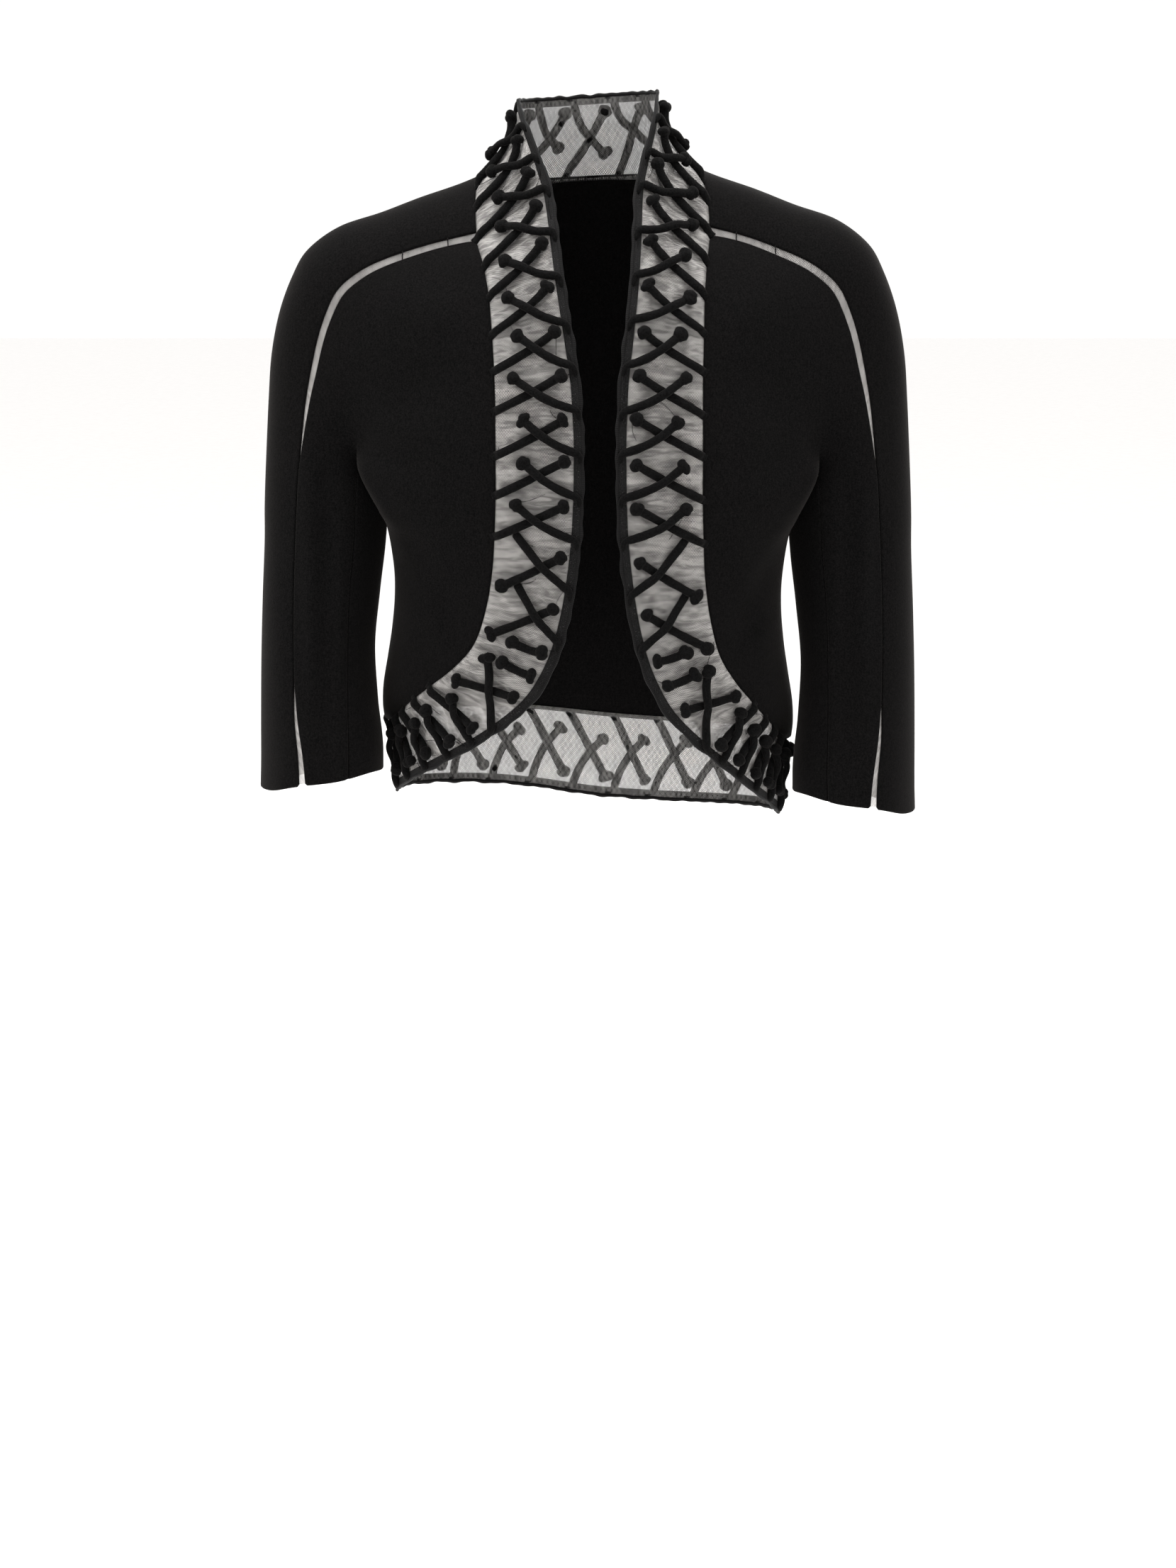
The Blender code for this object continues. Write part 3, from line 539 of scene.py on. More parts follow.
def on_sleeve(z, degrees):
    """A point on the sleeve at a height and a turn from its front, outward positive."""
    ring = ring_at(z)
    turn = math.radians(degrees)
    slope = smooth((z - SLEEVE[0].z) / (SLEEVE[-1].z - SLEEVE[0].z))
    wave = CUFF_WAVE * slope ** CUFF_WAVE_FADE * math.sin(CUFF_WAVES * turn)
    return np.array([ring.cx + (ring.rx + wave) * math.sin(turn),
                     ring.cy - (ring.ry + wave) * math.cos(turn),
                     z + slope * (CUFF_RISE * math.cos(turn) - CUFF_TILT * math.sin(turn)) + wave])


def horseshoe(share):
    """The seam under the sleeve, from the front fold (0) round below (1) to the back fold (2)."""
    start = SLEEVE[0].under_deg
    height = SLEEVE[0].z - ARMPIT_DROP * math.sin(math.pi / 2 * share)
    return on_sleeve(height, -start - (90 - start) * share), height


def settle(points):
    """Worn shape: the folds, the lower hang of one side and the swing of the fronts."""
    points = np.array(points, float)
    shape = points.shape
    points = points.reshape(-1, 3)
    for fold in FOLDS:
        a, b = np.array([fold.x0, fold.z0], float), np.array([fold.x1, fold.z1], float)
        flat = np.stack([np.abs(points[:, 0]), points[:, 2]], axis=1)
        along = np.clip((flat - a) @ (b - a) / ((b - a) @ (b - a)), 0, 1)
        distance = np.linalg.norm(flat - a - along[:, None] * (b - a), axis=1)
        faces = np.clip(0.5 + fold.facing * points[:, 1] / FOLD_FADE, 0, 1)
        if fold.side:
            faces = faces * (points[:, 0] * fold.side > 0)
        tapered = np.sin(math.pi * (FOLD_END + (1 - 2 * FOLD_END) * along))
        amount = fold.depth * np.exp(-(distance / fold.width) ** 2) * faces * tapered
        points[:, 1] += fold.facing * amount
    lower = np.tanh(points[:, 0] / HANG_REACH)
    points[:, 2] += lower * (SHOULDER_LIFT + SIDE_DROP * points[:, 2])
    fade = np.clip((SWING_NONE - np.abs(points[:, 0])) / (SWING_NONE - SWING_FULL), 0, 1)
    points[:, 0] += SWING * np.maximum(-points[:, 1], 0) * smooth(fade)
    return points.reshape(shape)


# Rows of the panels, before their edges are cut.
def seam_corner(name, row):
    """The fold or side point of a row that follows the horseshoe."""
    shares = {"front": (0.0, 0.5, 1.0), "back": (2.0, 1.5, 1.0)}
    return horseshoe(shares[name][row])[0]


def panel_rows(name, middles, folds, sides):
    """Sleeve-side and body-side rows of a front or half back, from the neck down."""
    facing = -1 if name == "front" else 1
    sleeve, body = [], []
    for i, middle in enumerate(middles):
        if i < UPPER:
            if i < len(SHOULDER):
                edge = getattr(SHOULDER[i], name)
            else:
                insert = SLEEVE[0].insert_deg
                edge = on_sleeve(SLEEVE[0].z, insert if name == "front" else 180 - insert)
            fold = np.asarray(folds[i], float)
            gentle, meet = (through_fold if name == "front" else across_back)(edge, fold, middle)
            deep = smooth((i - FOLD_SECTION) / (UPPER - 1 - FOLD_SECTION))
            row = []
            for s in np.linspace(0, 1, SLEEVE_COLUMNS + 1):
                round_arm = lerp(edge, fold, s) + np.array([0, facing * ARM_ROUND * s * (1 - s), 0])
                row.append(lerp(gentle(meet * s), round_arm, deep))
            sleeve.append(row)
            body.append([lerp(gentle(meet + (1 - meet) * s), wrap(fold, middle, s), deep)
                         for s in np.linspace(0, 1, BODY_COLUMNS + 1)])
        else:
            side = sides[i - UPPER]
            body.append([wrap(side, middle, s) for s in np.linspace(0, 1, BODY_COLUMNS + 1)])
    for ring in SLEEVE[1:]:
        start, end = ring.insert_deg, -ring.under_deg
        if name == "back":
            start, end = 180 - start, 180 - end
        sleeve.append([on_sleeve(ring.z, start + (end - start) * s)
                       for s in np.linspace(0, 1, SLEEVE_COLUMNS + 1)])
    return np.array(sleeve), np.array(body)


def side_line(name):
    """Side-seam points below the sleeve, the first two on the horseshoe."""
    return [seam_corner(name, 1), seam_corner(name, 2)] + [row[0] for row in WAIST[2:]]


def front_rows():
    folds = [row[0] for row in CHEST[:-1]] + [seam_corner("front", 0)]
    middles = [row[1] for row in CHEST + WAIST]
    return panel_rows("front", middles, folds, side_line("front"))


def back_rows():
    folds = [row[0] for row in BLADE[:-1]] + [seam_corner("back", 0)]
    middles = [(0, row[1], row[2]) for row in BLADE] + [(0, y, z) for y, z in LOWER_BACK]
    return panel_rows("back", middles, folds, side_line("back"))


def section_arc(section):
    """A shoulder section as an arc, from the front insert over the top to the back seam."""
    return through_three(section.front, section.top, section.back)


def top_rows():
    """The shoulder and outer sleeve, front insert to back seam, neck to cuff."""
    rows = []
    for section in SHOULDER:
        arc = section_arc(section)
        rows.append([arc(s) for s in np.linspace(0, 1, TOP_COLUMNS + 1)])
    for ring in SLEEVE:
        turn = 180 - 2 * ring.insert_deg
        rows.append([on_sleeve(ring.z, ring.insert_deg + turn * s)
                     for s in np.linspace(0, 1, TOP_COLUMNS + 1)])
    return np.array(rows)


def under_rows():
    """The under-sleeve panel, from the horseshoe to the cuff, front seam to back seam."""
    rows = []
    for v in np.linspace(0, 1, UNDER_ROWS + 1):
        row = []
        for share in np.linspace(0, 2, UNDER_COLUMNS + 1):
            height = horseshoe(share)[1] - TIP_EASE * abs(1 - share) ** TIP_POWER
            z = height + (SLEEVE[-1].z - height) * v
            seam = ring_at(z).under_deg
            row.append(on_sleeve(z, -seam - (90 - seam) * share))
        rows.append(row)
    return np.array(rows)


# Fine cloth on those rows.
def spans(rows):
    """The widest step from each row of points to the next."""
    return np.linalg.norm(np.diff(rows, axis=0), axis=2).max(axis=1)


def row_places(steps):
    """Places between rows, a cloth step apart, and closer together at the first and last row."""
    places = [np.linspace(i, i + 1, max(LEAST_ROWS, math.ceil(step / CREPE_STEP)), endpoint=False)
              for i, step in enumerate(steps)]
    last = len(steps)
    marks = EDGE_MARKS[1:]
    every = np.concatenate([*places, marks / steps[0], last - marks / steps[-1], [last]])
    return np.unique(np.round(every, 3))


def fine_rows(rows):
    """The rows of a panel a cloth step apart."""
    return spline(rows, row_places(spans(rows)))


def slant(edge, inner):
    """The sine of the angle between an edge line and the rows that meet it."""
    along, rows = unit(np.gradient(edge, axis=0)), unit(inner - edge)
    return np.maximum(np.linalg.norm(np.cross(along, rows), axis=1), LEAST_SLANT)


def run_along(rows, axis):
    """The distance along each row (axis 1) or column (axis 0) of a grid, or along a line (axis 0)."""
    steps = np.linalg.norm(np.diff(rows, axis=axis), axis=-1)
    return np.insert(np.cumsum(steps, axis=axis), 0, 0, axis=axis)


def cut_rows(rows, start, end):
    """Cut back both ends of every row and space its points evenly, closer at the edges."""
    starts = start / slant(rows[:, 0], rows[:, 1])
    ends = end / slant(rows[:, -1], rows[:, -2])
    runs = run_along(rows, 1)
    lengths = runs[:, -1] - starts - ends
    count = max(LEAST_COLUMNS, round(lengths.max() / CREPE_STEP))
    cut = []
    for row, run, first, length in zip(rows, runs, starts, lengths):
        near = EDGE_MARKS * min(1.0, length / SHORT_ROW)
        middle = np.linspace(near[-1], length - near[-1], count)[1:-1]
        wanted = first + np.concatenate([near, middle, length - near[::-1]])
        cut.append(np.stack([np.interp(wanted, run, row[:, k]) for k in range(3)], axis=1))
    return np.array(cut)


def outward(grid, inside):
    """Unit normals of a grid of points, pointing away from a point inside the jacket."""
    normals = unit(np.cross(np.gradient(grid, axis=0), np.gradient(grid, axis=1)))
    return normals if np.sum(normals * (grid - np.asarray(inside, float))) > 0 else -normals


def rounded(grid, inside, start, end, top=0.0, bottom=0.0, lap_start=0.0, lap_end=0.0):
    """Turn the edges of a panel inwards on a small radius, by a weight for each edge.

    Where two panels are sewn together a narrow seam allowance goes on under the other one.
    """
    edges = (start, end, lap_start, lap_end)
    start, end, lap_start, lap_end = (np.broadcast_to(w, len(grid))[:, None] for w in edges)
    normals = outward(grid, inside)
    along, down = run_along(grid, 1), run_along(grid, 0)
    weights = ((along, start), (along[:, -1:] - along, end), (down, top), (down[-1:] - down, bottom))
    drop = np.zeros(grid.shape[:2])
    for distance, weight in weights:
        within = np.clip(1 - distance / EDGE_ROUND, 0, 1)
        drop = np.maximum(drop, EDGE_ROUND * (1 - np.sqrt(1 - within ** 2)) * weight)
    turned = grid - normals * drop[..., None]
    before = unit(grid[:, 0] - grid[:, EDGE_SPAN])
    after = unit(grid[:, -1] - grid[:, -1 - EDGE_SPAN])
    columns = [turned]
    for out, depth in SEAM_ALLOWANCE:
        if lap_start.any():
            lap = turned[:, 0] + lap_start * (before * out - normals[:, 0] * depth)
            columns.insert(0, lap[:, None])
        if lap_end.any():
            lap = turned[:, -1] + lap_end * (after * out - normals[:, -1] * depth)
            columns.append(lap[:, None])
    return np.concatenate(columns, axis=1)


def hemmed(grid, inside):
    """Add the turned-up hem of a cuff: the cloth goes round its edge and up inside.

    By the seams the hem turns as the cloth beside them does, and its inner layer draws back a little.
    """
    normals = outward(grid, inside)[-1]
    beside = len(EDGE_MARKS) + len(SEAM_ALLOWANCE)
    normals[:beside] = normals[beside]
    normals[-beside:] = normals[-beside - 1]
    down = unit(grid[-1] - grid[-2])
    rows = []
    for turn in np.radians(HEM_TURNS):
        row = grid[-1] + HEM_ROUND * (down * math.sin(turn) - normals * (1 - math.cos(turn)))
        drawn = HEM_DRAW * turn / math.pi
        row[:beside] = lerp(row[:beside], row[beside], drawn)
        row[-beside:] = lerp(row[-beside:], row[-beside - 1], drawn)
        rows.append(row)
    rows += [rows[-1] - down * depth for depth in HEM_DEPTH]
    return np.concatenate([grid, rows])


# Meshes.
def lay_grid(shape, points, across=None, along=None, finish=0):
    """Add a grid of points to a shape as a sheet, with a UV map in metres where it is given."""
    rows, columns = points.shape[:2]
    made = bmesh.ops.create_grid(shape, x_segments=columns - 1, y_segments=rows - 1, size=1)["verts"]
    for vert, point in zip(made, points.reshape(-1, 3)):
        vert.co = point * MM
    shape.verts.index_update()
    first = made[0].index
    uv = shape.loops.layers.uv.verify() if across is not None else None
    for face in {face for vert in made for face in vert.link_faces}:
        face.material_index = finish
        face.smooth = True
        for loop in face.loops if uv else ():
            place = loop.vert.index - first
            loop[uv].uv = (across.flat[place] * MM, along.flat[place] * MM)


def add_piece(name, shape, finishes):
    mesh = bpy.data.meshes.new(name)
    shape.to_mesh(mesh)
    shape.free()
    for finish in finishes:
        mesh.materials.append(finish)
    piece = bpy.data.objects.new(name, mesh)
    bpy.context.scene.collection.objects.link(piece)
    return piece


def closed_piece(name, shape, finishes):
    """A piece of closed tubes or turned edges."""
    bmesh.ops.remove_doubles(shape, verts=shape.verts, dist=CORD_MERGE * MM)
    bmesh.ops.recalc_face_normals(shape, faces=shape.faces)
    return add_piece(name, shape, finishes)


def cloth_piece(name, sheets, inside, wall, finishes):
    """One cloth piece: sheets joined where they meet, with a wall inwards.

    Each sheet is its grid of points, with a UV map where it has one. A second finish goes on the
    inner side.
    """
    shape = bmesh.new()
    for sheet in sheets:
        lay_grid(shape, *sheet)
    bmesh.ops.remove_doubles(shape, verts=shape.verts, dist=CLOTH_MERGE * MM)
    bmesh.ops.recalc_face_normals(shape, faces=shape.faces)
    centre = Vector(inside) * MM
    if sum(face.normal.dot(face.calc_center_median() - centre) for face in shape.faces) < 0:
        bmesh.ops.reverse_faces(shape, faces=shape.faces)
    piece = add_piece(name, shape, finishes)
    thicken = piece.modifiers.new("Wall", "SOLIDIFY")
    thicken.thickness = wall * MM
    thicken.offset = -1
    thicken.material_offset = len(finishes) - 1
    return piece


def show(piece, slot, *nodes):
    """Put a piece on the jacket in place of its plain solids."""
    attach(piece, "root")
    if nodes:
        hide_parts(*nodes)


# Crepe panels.
def split_rows(sleeve, body):
    """Fine rows of a panel that divides at the armpit, and how far each lies below the slit."""
    steps, body_steps = spans(sleeve), spans(body)
    shared = np.maximum(steps[:UPPER - 1], body_steps[:UPPER - 1])
    steps[:UPPER - 1] = body_steps[:UPPER - 1] = shared
    places, body_places = row_places(steps), row_places(body_steps)
    fine, body_fine = spline(sleeve, places), spline(body, body_places)
    slit, body_slit = (smooth((p - (UPPER - 1)) / SLIT_OPENS) for p in (places, body_places))
    return fine, body_fine, slit, body_slit


def insert_half(line):
    """Half the width of the gap along the insertion: it gapes at the shoulder and at the cuff."""
    heights, shares = zip(*INSERT_GAPES[::-1])
    return INSERT_WIDTH / 2 * np.interp(line[:, 2], heights, shares)


def soften_fold(sleeve, body, shared):
    """Ease the fold between sleeve and body into a soft hollow that deepens towards the armpit."""
    offsets = np.arange(-3 * HOLLOW_EASE, 3 * HOLLOW_EASE + 1, HOLLOW_STEP)
    weights = np.exp(-0.5 * (offsets / HOLLOW_EASE) ** 2)
    weights = weights / weights.sum()
    last = sleeve.shape[1]
    for i, share in enumerate(np.linspace(0, 1, shared)):
        row = np.concatenate([sleeve[i], body[i, 1:]])
        run = run_along(row, 0)
        spread = run[:, None] + offsets
        eased = np.stack([np.interp(spread, run, row[:, k]) @ weights for k in range(3)], axis=1)
        amount = smooth((share - HOLLOW_FROM) / HOLLOW_GROWS) * smooth((1 - share) / HOLLOW_FADE)
        near = amount * np.exp(-((run - run[last - 1]) / HOLLOW_REACH) ** 2)
        row = row + near[:, None] * (eased - row)
        sleeve[i] = row[:last]
        body[i] = row[last - 1:]


def divided_panel(name, side):
    """The sheets of a front or half back: the sleeve part with its hem, and the body part."""
    sleeve, body = front_rows() if name == "front" else back_rows()
    sleeve, body, slit, body_slit = split_rows(sleeve, body)
    outer, inner = (insert_half(sleeve[:, 0]), SEAM_PULL) if name == "front" else (SEAM_PULL, 0.0)
    sleeve = cut_rows(sleeve, outer, SEAM_PULL * slit)
    body = cut_rows(body, SEAM_PULL * body_slit, inner)
    shared = int(np.sum(slit == 0))
    sleeve, body = (settle(mirrored(g, side)) for g in (sleeve, body))
    sleeve[:shared, -1] = body[:shared, 0]
    soften_fold(sleeve, body, shared)
    inside, trunk = (mirrored(INSIDE[part], side) for part in ("sleeve", "body"))
    back = float(name == "back")
    body = rounded(body, trunk, body_slit, 1 - back, top=back, bottom=back, lap_start=body_slit)
    sleeve = rounded(sleeve, inside, 1.0, slit, top=back, lap_start=back, lap_end=slit)
    sleeve[:shared, -1] = body[:shared, 0]
    return [hemmed(sleeve, inside), body]


def shoulder_panel(side):
    """The sheet of the shoulder and outer sleeve, with its hem."""
    fine = fine_rows(top_rows())
    fine = cut_rows(fine, insert_half(fine[:, 0]), SEAM_PULL)
    fine = settle(mirrored(fine, side))
    inside = mirrored(INSIDE["sleeve_top"], side)
    return hemmed(rounded(fine, inside, 1.0, 1.0, top=1.0, lap_end=1.0), inside)


def under_panel(side):
    """The sheet of the under-sleeve panel, with its hem."""
    fine = fine_rows(under_rows())
    fine = settle(mirrored(cut_rows(fine, SEAM_PULL, SEAM_PULL), side))
    inside = mirrored(INSIDE["sleeve_under"], side)
    return hemmed(rounded(fine, inside, 1.0, 1.0, top=1.0, lap_start=1.0, lap_end=1.0), inside)


def insert_strip(side):
    """The sheer insertion: a strip of net that runs under the crepe edges on both sides."""
    fine = fine_rows(top_rows())
    line = fine[:, 0]
    sideways = unit(fine[:, 1] - line)
    half = INSERT_WIDTH / 2 + INSERT_UNDERLAP
    offsets = np.linspace(-half, half, INSERT_COLUMNS)
    strip = line[:, None] + sideways[:, None] * offsets[None, :, None]
    normals = outward(strip, INSIDE["insert"])
    strip = settle(mirrored(strip - normals * INSERT_DEPTH, side))
    run = run_along(strip, 0)
    return strip, np.broadcast_to(offsets, run.shape), run


def make_crepe(crepe, net):
    """The seven crepe panels and the two insertions."""
    panels = {}
    for side, tag in SIDES:
        for name, grids in (("front", divided_panel("front", side)),
                            ("sleeve_top", [shoulder_panel(side)]),
                            ("sleeve_under", [under_panel(side)])):
            panels[name + "_" + tag] = (grids, mirrored(INSIDE[name], side))
        strip = cloth_piece("sheer_insert_" + tag, [insert_strip(side)],
                            mirrored(INSIDE["insert"], side), TULLE_WALL, [net])
        show(strip, "sheer_insert", "insert_" + tag)
    panels["back"] = (divided_panel("back", 1) + divided_panel("back", -1), INSIDE["back"])
    for node, (grids, inside) in panels.items():
        panel = cloth_piece("crepe_" + node, [(grid,) for grid in grids], inside, CREPE_WALL, [crepe])
        show(panel, "wool_crepe", node)


# The band's surface.
def ridge_share():
    """The share of the first shoulder arc at which it crosses the shoulder line."""
    arc = section_arc(SHOULDER[0])
    shares = np.linspace(0, 1, RIDGE_POINTS)
    return float(min(shares, key=lambda s: np.linalg.norm(arc(s) - SHOULDER[0].top)))


def neck_seam():
    """The band seam from the shoulder line round to the centre back of the neck."""
    arc, ridge = section_arc(SHOULDER[0]), ridge_share()
    across, meet = across_back(SHOULDER[0].back, BLADE[0][0], (0, *BLADE[0][1:]))
    shares = [meet * share for share in NECK_SHARES]
    shares += [meet + (1 - meet) * step / NAPE_STEPS[-1] for step in NAPE_STEPS]
    return np.array([arc(ridge), arc(0.5 * (1 + ridge))] + [across(s) for s in shares])


def band_lines():
    """The three lengths of band as lines: half front, half neck, half hem."""
    arc, ridge = section_arc(SHOULDER[0]), ridge_share()
    rows = CHEST + WAIST
    seam = [arc(ridge * s) for s in COLLAR_SHARES] + [row[1] for row in rows] + [SIDE_HEM_SEAM]
    edge = [*COLLAR_EDGE, *(row[2] for row in rows), SIDE_HEM_EDGE]
    fade = [COLLAR_HOLLOW * smooth(1 - row / COLLAR_FADE) for row in range(len(seam))]
    neck = neck_seam()
    wide, back, high = COLLAR_TOP
    front = COLLAR_EDGE[0][1]
    top = [(wide * math.cos(turn), front + (back - front) * math.sin(turn), high)
           for turn in np.linspace(0, math.pi / 2, len(neck))]
    side, middle = side_line("back")[-1], (0, *LOWER_BACK[-1])
    shares = np.linspace(0, 1, HEM_POINTS)
    hem = [SIDE_HEM_SEAM] + [wrap(side, middle, s) for s in shares[1:]]
    low = [wrap(SIDE_HEM_EDGE, HEM_CENTRE, s) for s in shares]
    lines = {"front": (seam, edge, fade),
             "neck": (neck, top, [COLLAR_HOLLOW] * len(neck)),
             "hem": (hem, low, [0] * len(hem))}
    return {name: Band(*as_points(*line), INSIDE["band_" + name]) for name, line in lines.items()}


def full_round(band):
    """A half band that ends at the centre back, carried on round the other half."""
    def carried(line):
        return np.vstack([line, mirrored(line[::-1][1:], -1)])
    hollow = np.concatenate([band.hollow, band.hollow[::-1][1:]])
    return Band(carried(band.seam), carried(band.edge), hollow, band.inside)


def other_side(band, side):
    return Band(mirrored(band.seam, side), mirrored(band.edge, side), band.hollow,
                mirrored(band.inside, side))


def band_points(band, places, shares):
    """Points on a band, at places counted in its rows and shares of the way to its free edge."""
    places, shares = np.broadcast_arrays(*as_points(places, shares))
    s = shares[..., None]
    points = spline(band.seam, places) * (1 - s) + spline(band.edge, places) * s
    inward = unit(np.array([0, NECK_AXIS_Y, 0]) - points * np.array([1, 1, 0]))
    return points + inward * spline(band.hollow, places)[..., None] * 4 * s * (1 - s)


def band_normals(band, places, shares):
    """Unit normals of a band's outer face."""
    step, last = NORMAL_STEP, len(band.seam) - 1
    places, shares = np.broadcast_arrays(np.asarray(places, float), np.clip(shares, 0, 1))
    along = (band_points(band, np.minimum(places + step, last), shares)
             - band_points(band, np.maximum(places - step, 0), shares))
    over = band_points(band, places, shares + step) - band_points(band, places, shares - step)
    normals = unit(np.cross(along, over))
    away = np.sum(normals * (band_points(band, places, shares) - np.asarray(band.inside, float)), axis=-1)
    return normals * np.where(away < 0, -1.0, 1.0)[..., None]


def middle_run(band):
    """Places along a band, counted in its rows, and the distance along its middle at each."""
    places = np.linspace(0, len(band.seam) - 1, RUN_POINTS * len(band.seam))
    return places, run_along(band_points(band, places, 0.5), 0)


# Cords. Each is a tube whose section is flattened where it is caught or crossed.
def tube(shape, centres, wide, high, up, sides, finish=0):
    """A closed tube along centres, so wide and so high at each, with up as the way of its height."""
    along = unit(np.gradient(centres, axis=0))
    wideways = unit(np.cross(along, up))
    up = np.cross(wideways, along)
    turns = np.linspace(0, 2 * math.pi, sides + 1)
    rings = (centres[:, None] + wideways[:, None] * (wide[:, None] * np.cos(turns))[..., None]
             + up[:, None] * (high[:, None] * np.sin(turns))[..., None])
    rings = np.concatenate([np.repeat(centres[:1, None], sides + 1, axis=1), rings,
                            np.repeat(centres[-1:, None], sides + 1, axis=1)])
    run = np.broadcast_to(run_along(rings, 0).mean(axis=1)[:, None], rings.shape[:2])
    round_it = np.broadcast_to(turns * CORD_RADIUS, rings.shape[:2])
    lay_grid(shape, rings, round_it, run, finish)


def round_ends(wide, high, centres, start_shows):
    """Bring a tube's section to a rounded tip at its end, and at its start where that shows."""
    run = run_along(centres, 0)
    for distance in (run, run[-1] - run) if start_shows else (run[-1] - run,):
        near = np.clip(1 - distance / CORD_RADIUS, 0, CORD_TIP)
        wide, high = wide * np.sqrt(1 - near ** 2), high * np.sqrt(1 - near ** 2)
    return wide, high


def cord_line(lay, from_run, to_run, hook=0.0):
    """A cord's course on the flat band: distances along it and shares across it.

    A cord that ends at the rim turns at last to follow it.
    """
    shares = np.linspace(0, 1 + HOOK_SHARE * (hook > 0), CORD_RINGS)
    main, beyond = np.minimum(shares, 1), np.maximum(shares - 1, 0) / HOOK_SHARE
    run = from_run + (to_run - from_run) * main + lay.bow * np.sin(math.pi * main) + hook * beyond
    across = lay.start + (lay.end - lay.start) * main
    if hook:
        kept, even = HOOK_BLEND // 2, np.ones(HOOK_BLEND) / HOOK_BLEND
        run[kept:-kept] = np.convolve(run, even, "valid")
        across[kept:-kept] = np.convolve(across, even, "valid")
    return run, across


def crossing(one, other):
    """The ring of each of two courses at which they cross."""
    flat = [np.stack([run, across * BAND_WIDTH], axis=1) for run, across in (one, other)]
    apart = np.linalg.norm(flat[0][:, None] - flat[1][None], axis=2)
    return np.unravel_index(np.argmin(apart), apart.shape)


def lay_cord(shape, band, course, ends, draw, crossed_at=None, lift=0.0):
    """One cord on the band, its ends each knotted, caught in the seam or sewn along the rim."""
    run, across = course
    places = np.interp(run, *middle_run(band)[::-1])
    normals = band_normals(band, places, across)
    rise = np.full(len(run), CORD_RADIUS * CORD_FLATNESS + CORD_CLEAR)
    swell = np.linspace(0, draw.uniform(*CORD_SWELL), len(run)) + draw.uniform(*PHASES)
    wide = CORD_RADIUS * (1 + THICKNESS_WANDER * np.sin(swell))
    high = wide * CORD_FLATNESS
    if crossed_at is not None:
        distance = np.hypot(run - run[crossed_at], (across - across[crossed_at]) * BAND_WIDTH)
        press = np.exp(-(distance / PRESS_REACH) ** 2)
        rise = rise + lift * np.exp(-(distance / CROSS_REACH) ** 2)
        rise = rise - (lift == 0) * CROSS_PRESS * CORD_RADIUS * press
        high = high * (1 - CROSS_PRESS * press)
    for end, kind in zip((0, -1), ends):
        near = np.hypot(run - run[end], (across - across[end]) * BAND_WIDTH)
        if kind == "knot":
            above = ROUND_KNOT[2] - CORD_RADIUS * CORD_FLATNESS
            rise = rise + above * (1 - smooth(near / KNOT_APPROACH))
        else:
            section = CORD_ENDS[kind]
            out = smooth((across + SEAM_UNDER) / SEAM_DIVE if kind == "seam" else near / HOOK_TAPER)
            rise, high = lerp(section.rise, rise, out), lerp(section.high, high, out)
            wide = lerp(section.wide, wide, out) if section.wide else wide
    centres = settle(band_points(band, places, across) + normals * rise[:, None])
    wide, high = round_ends(wide, high, centres, ends[0] != "seam")
    tube(shape, centres, wide, high, normals, CORD_SIDES)
    rings = ((KNOT_RING, KNOT_HEADING), (-1 - KNOT_RING, -1 - KNOT_HEADING))
    for kind, (end, inner) in zip(ends, rings):
        if kind == "knot":
            tie_knot(shape, centres[end], unit(centres[end] - centres[inner]), normals[end], draw)


def tie_knot(shape, centre, along, up, draw):
    """A knot: a tight ball of cord, creased where it is wound, or drawn into two lobes."""
    sideways = unit(np.cross(along, up))
    axes = np.array([along, sideways, np.cross(sideways, along)])
    lobed = draw.random() < LOBED_SHARE
    half_sizes = np.array(LOBED_KNOT if lobed else ROUND_KNOT) * draw.uniform(*KNOT_SIZES)
    pole = (either_way(draw, KNOT_LEAN), 1.0, either_way(draw, KNOT_TILT))
    offset = either_way(draw, LOBED_OFFSET if lobed else ROUND_OFFSET)
    if not lobed:
        pole = (either_way(draw, 1), either_way(draw, 1), either_way(draw, KNOT_TILT))
    verts = bmesh.ops.create_icosphere(shape, subdivisions=KNOT_FINENESS, radius=1)["verts"]
    heads = unit(np.array([vert.co for vert in verts]))
    crease = np.exp(-((heads @ unit(np.array(pole)) - offset) / CREASE_WIDTH) ** 2)
    size = 1 - (LOBED_CREASE if lobed else ROUND_CREASE) * crease
    for _ in range(KNOT_WAVES):
        ripple = np.array([either_way(draw, KNOT_RIPPLE) for _ in range(3)])
        size = size + KNOT_LUMPS * np.sin(heads @ ripple + draw.uniform(*PHASES))
    points = centre + (heads * size[:, None] * half_sizes) @ axes
    for vert, point in zip(verts, points):
        vert.co = point * MM
        for face in vert.link_faces:
            face.smooth = True


def cord_piece(name, cord, make, *details):
    """A piece of cord work, made by a function with its details."""
    shape = bmesh.new()
    make(shape, *details)
    return closed_piece(name, shape, [cord])


def cross_courses(zone, spot, draw, scatter):
    """The courses of the two cords of a cross, and how each starts."""
    def near(value):
        return value + either_way(draw, CORD_JITTER)
    free = isinstance(zone, Zone) and FREE_UNDER_FROM < spot < FREE_UNDER_TO
    tucked = free and zone.name == "front"
    moved = OVER_CORD.start + either_way(scatter, KNOT_SCATTER)
    first, last = zone.over
    over = cord_line(OVER_CORD._replace(start=moved), near(spot + (TUCKED_START if tucked else first)),
                     near(spot + last), HOOK)
    under = cord_line(FREE_UNDER_CORD if free else UNDER_CORD, near(spot + zone.under[0]),
                      near(spot + zone.under[1]))
    return over, under, "tucked" if tucked else "knot", "knot" if free else "seam"


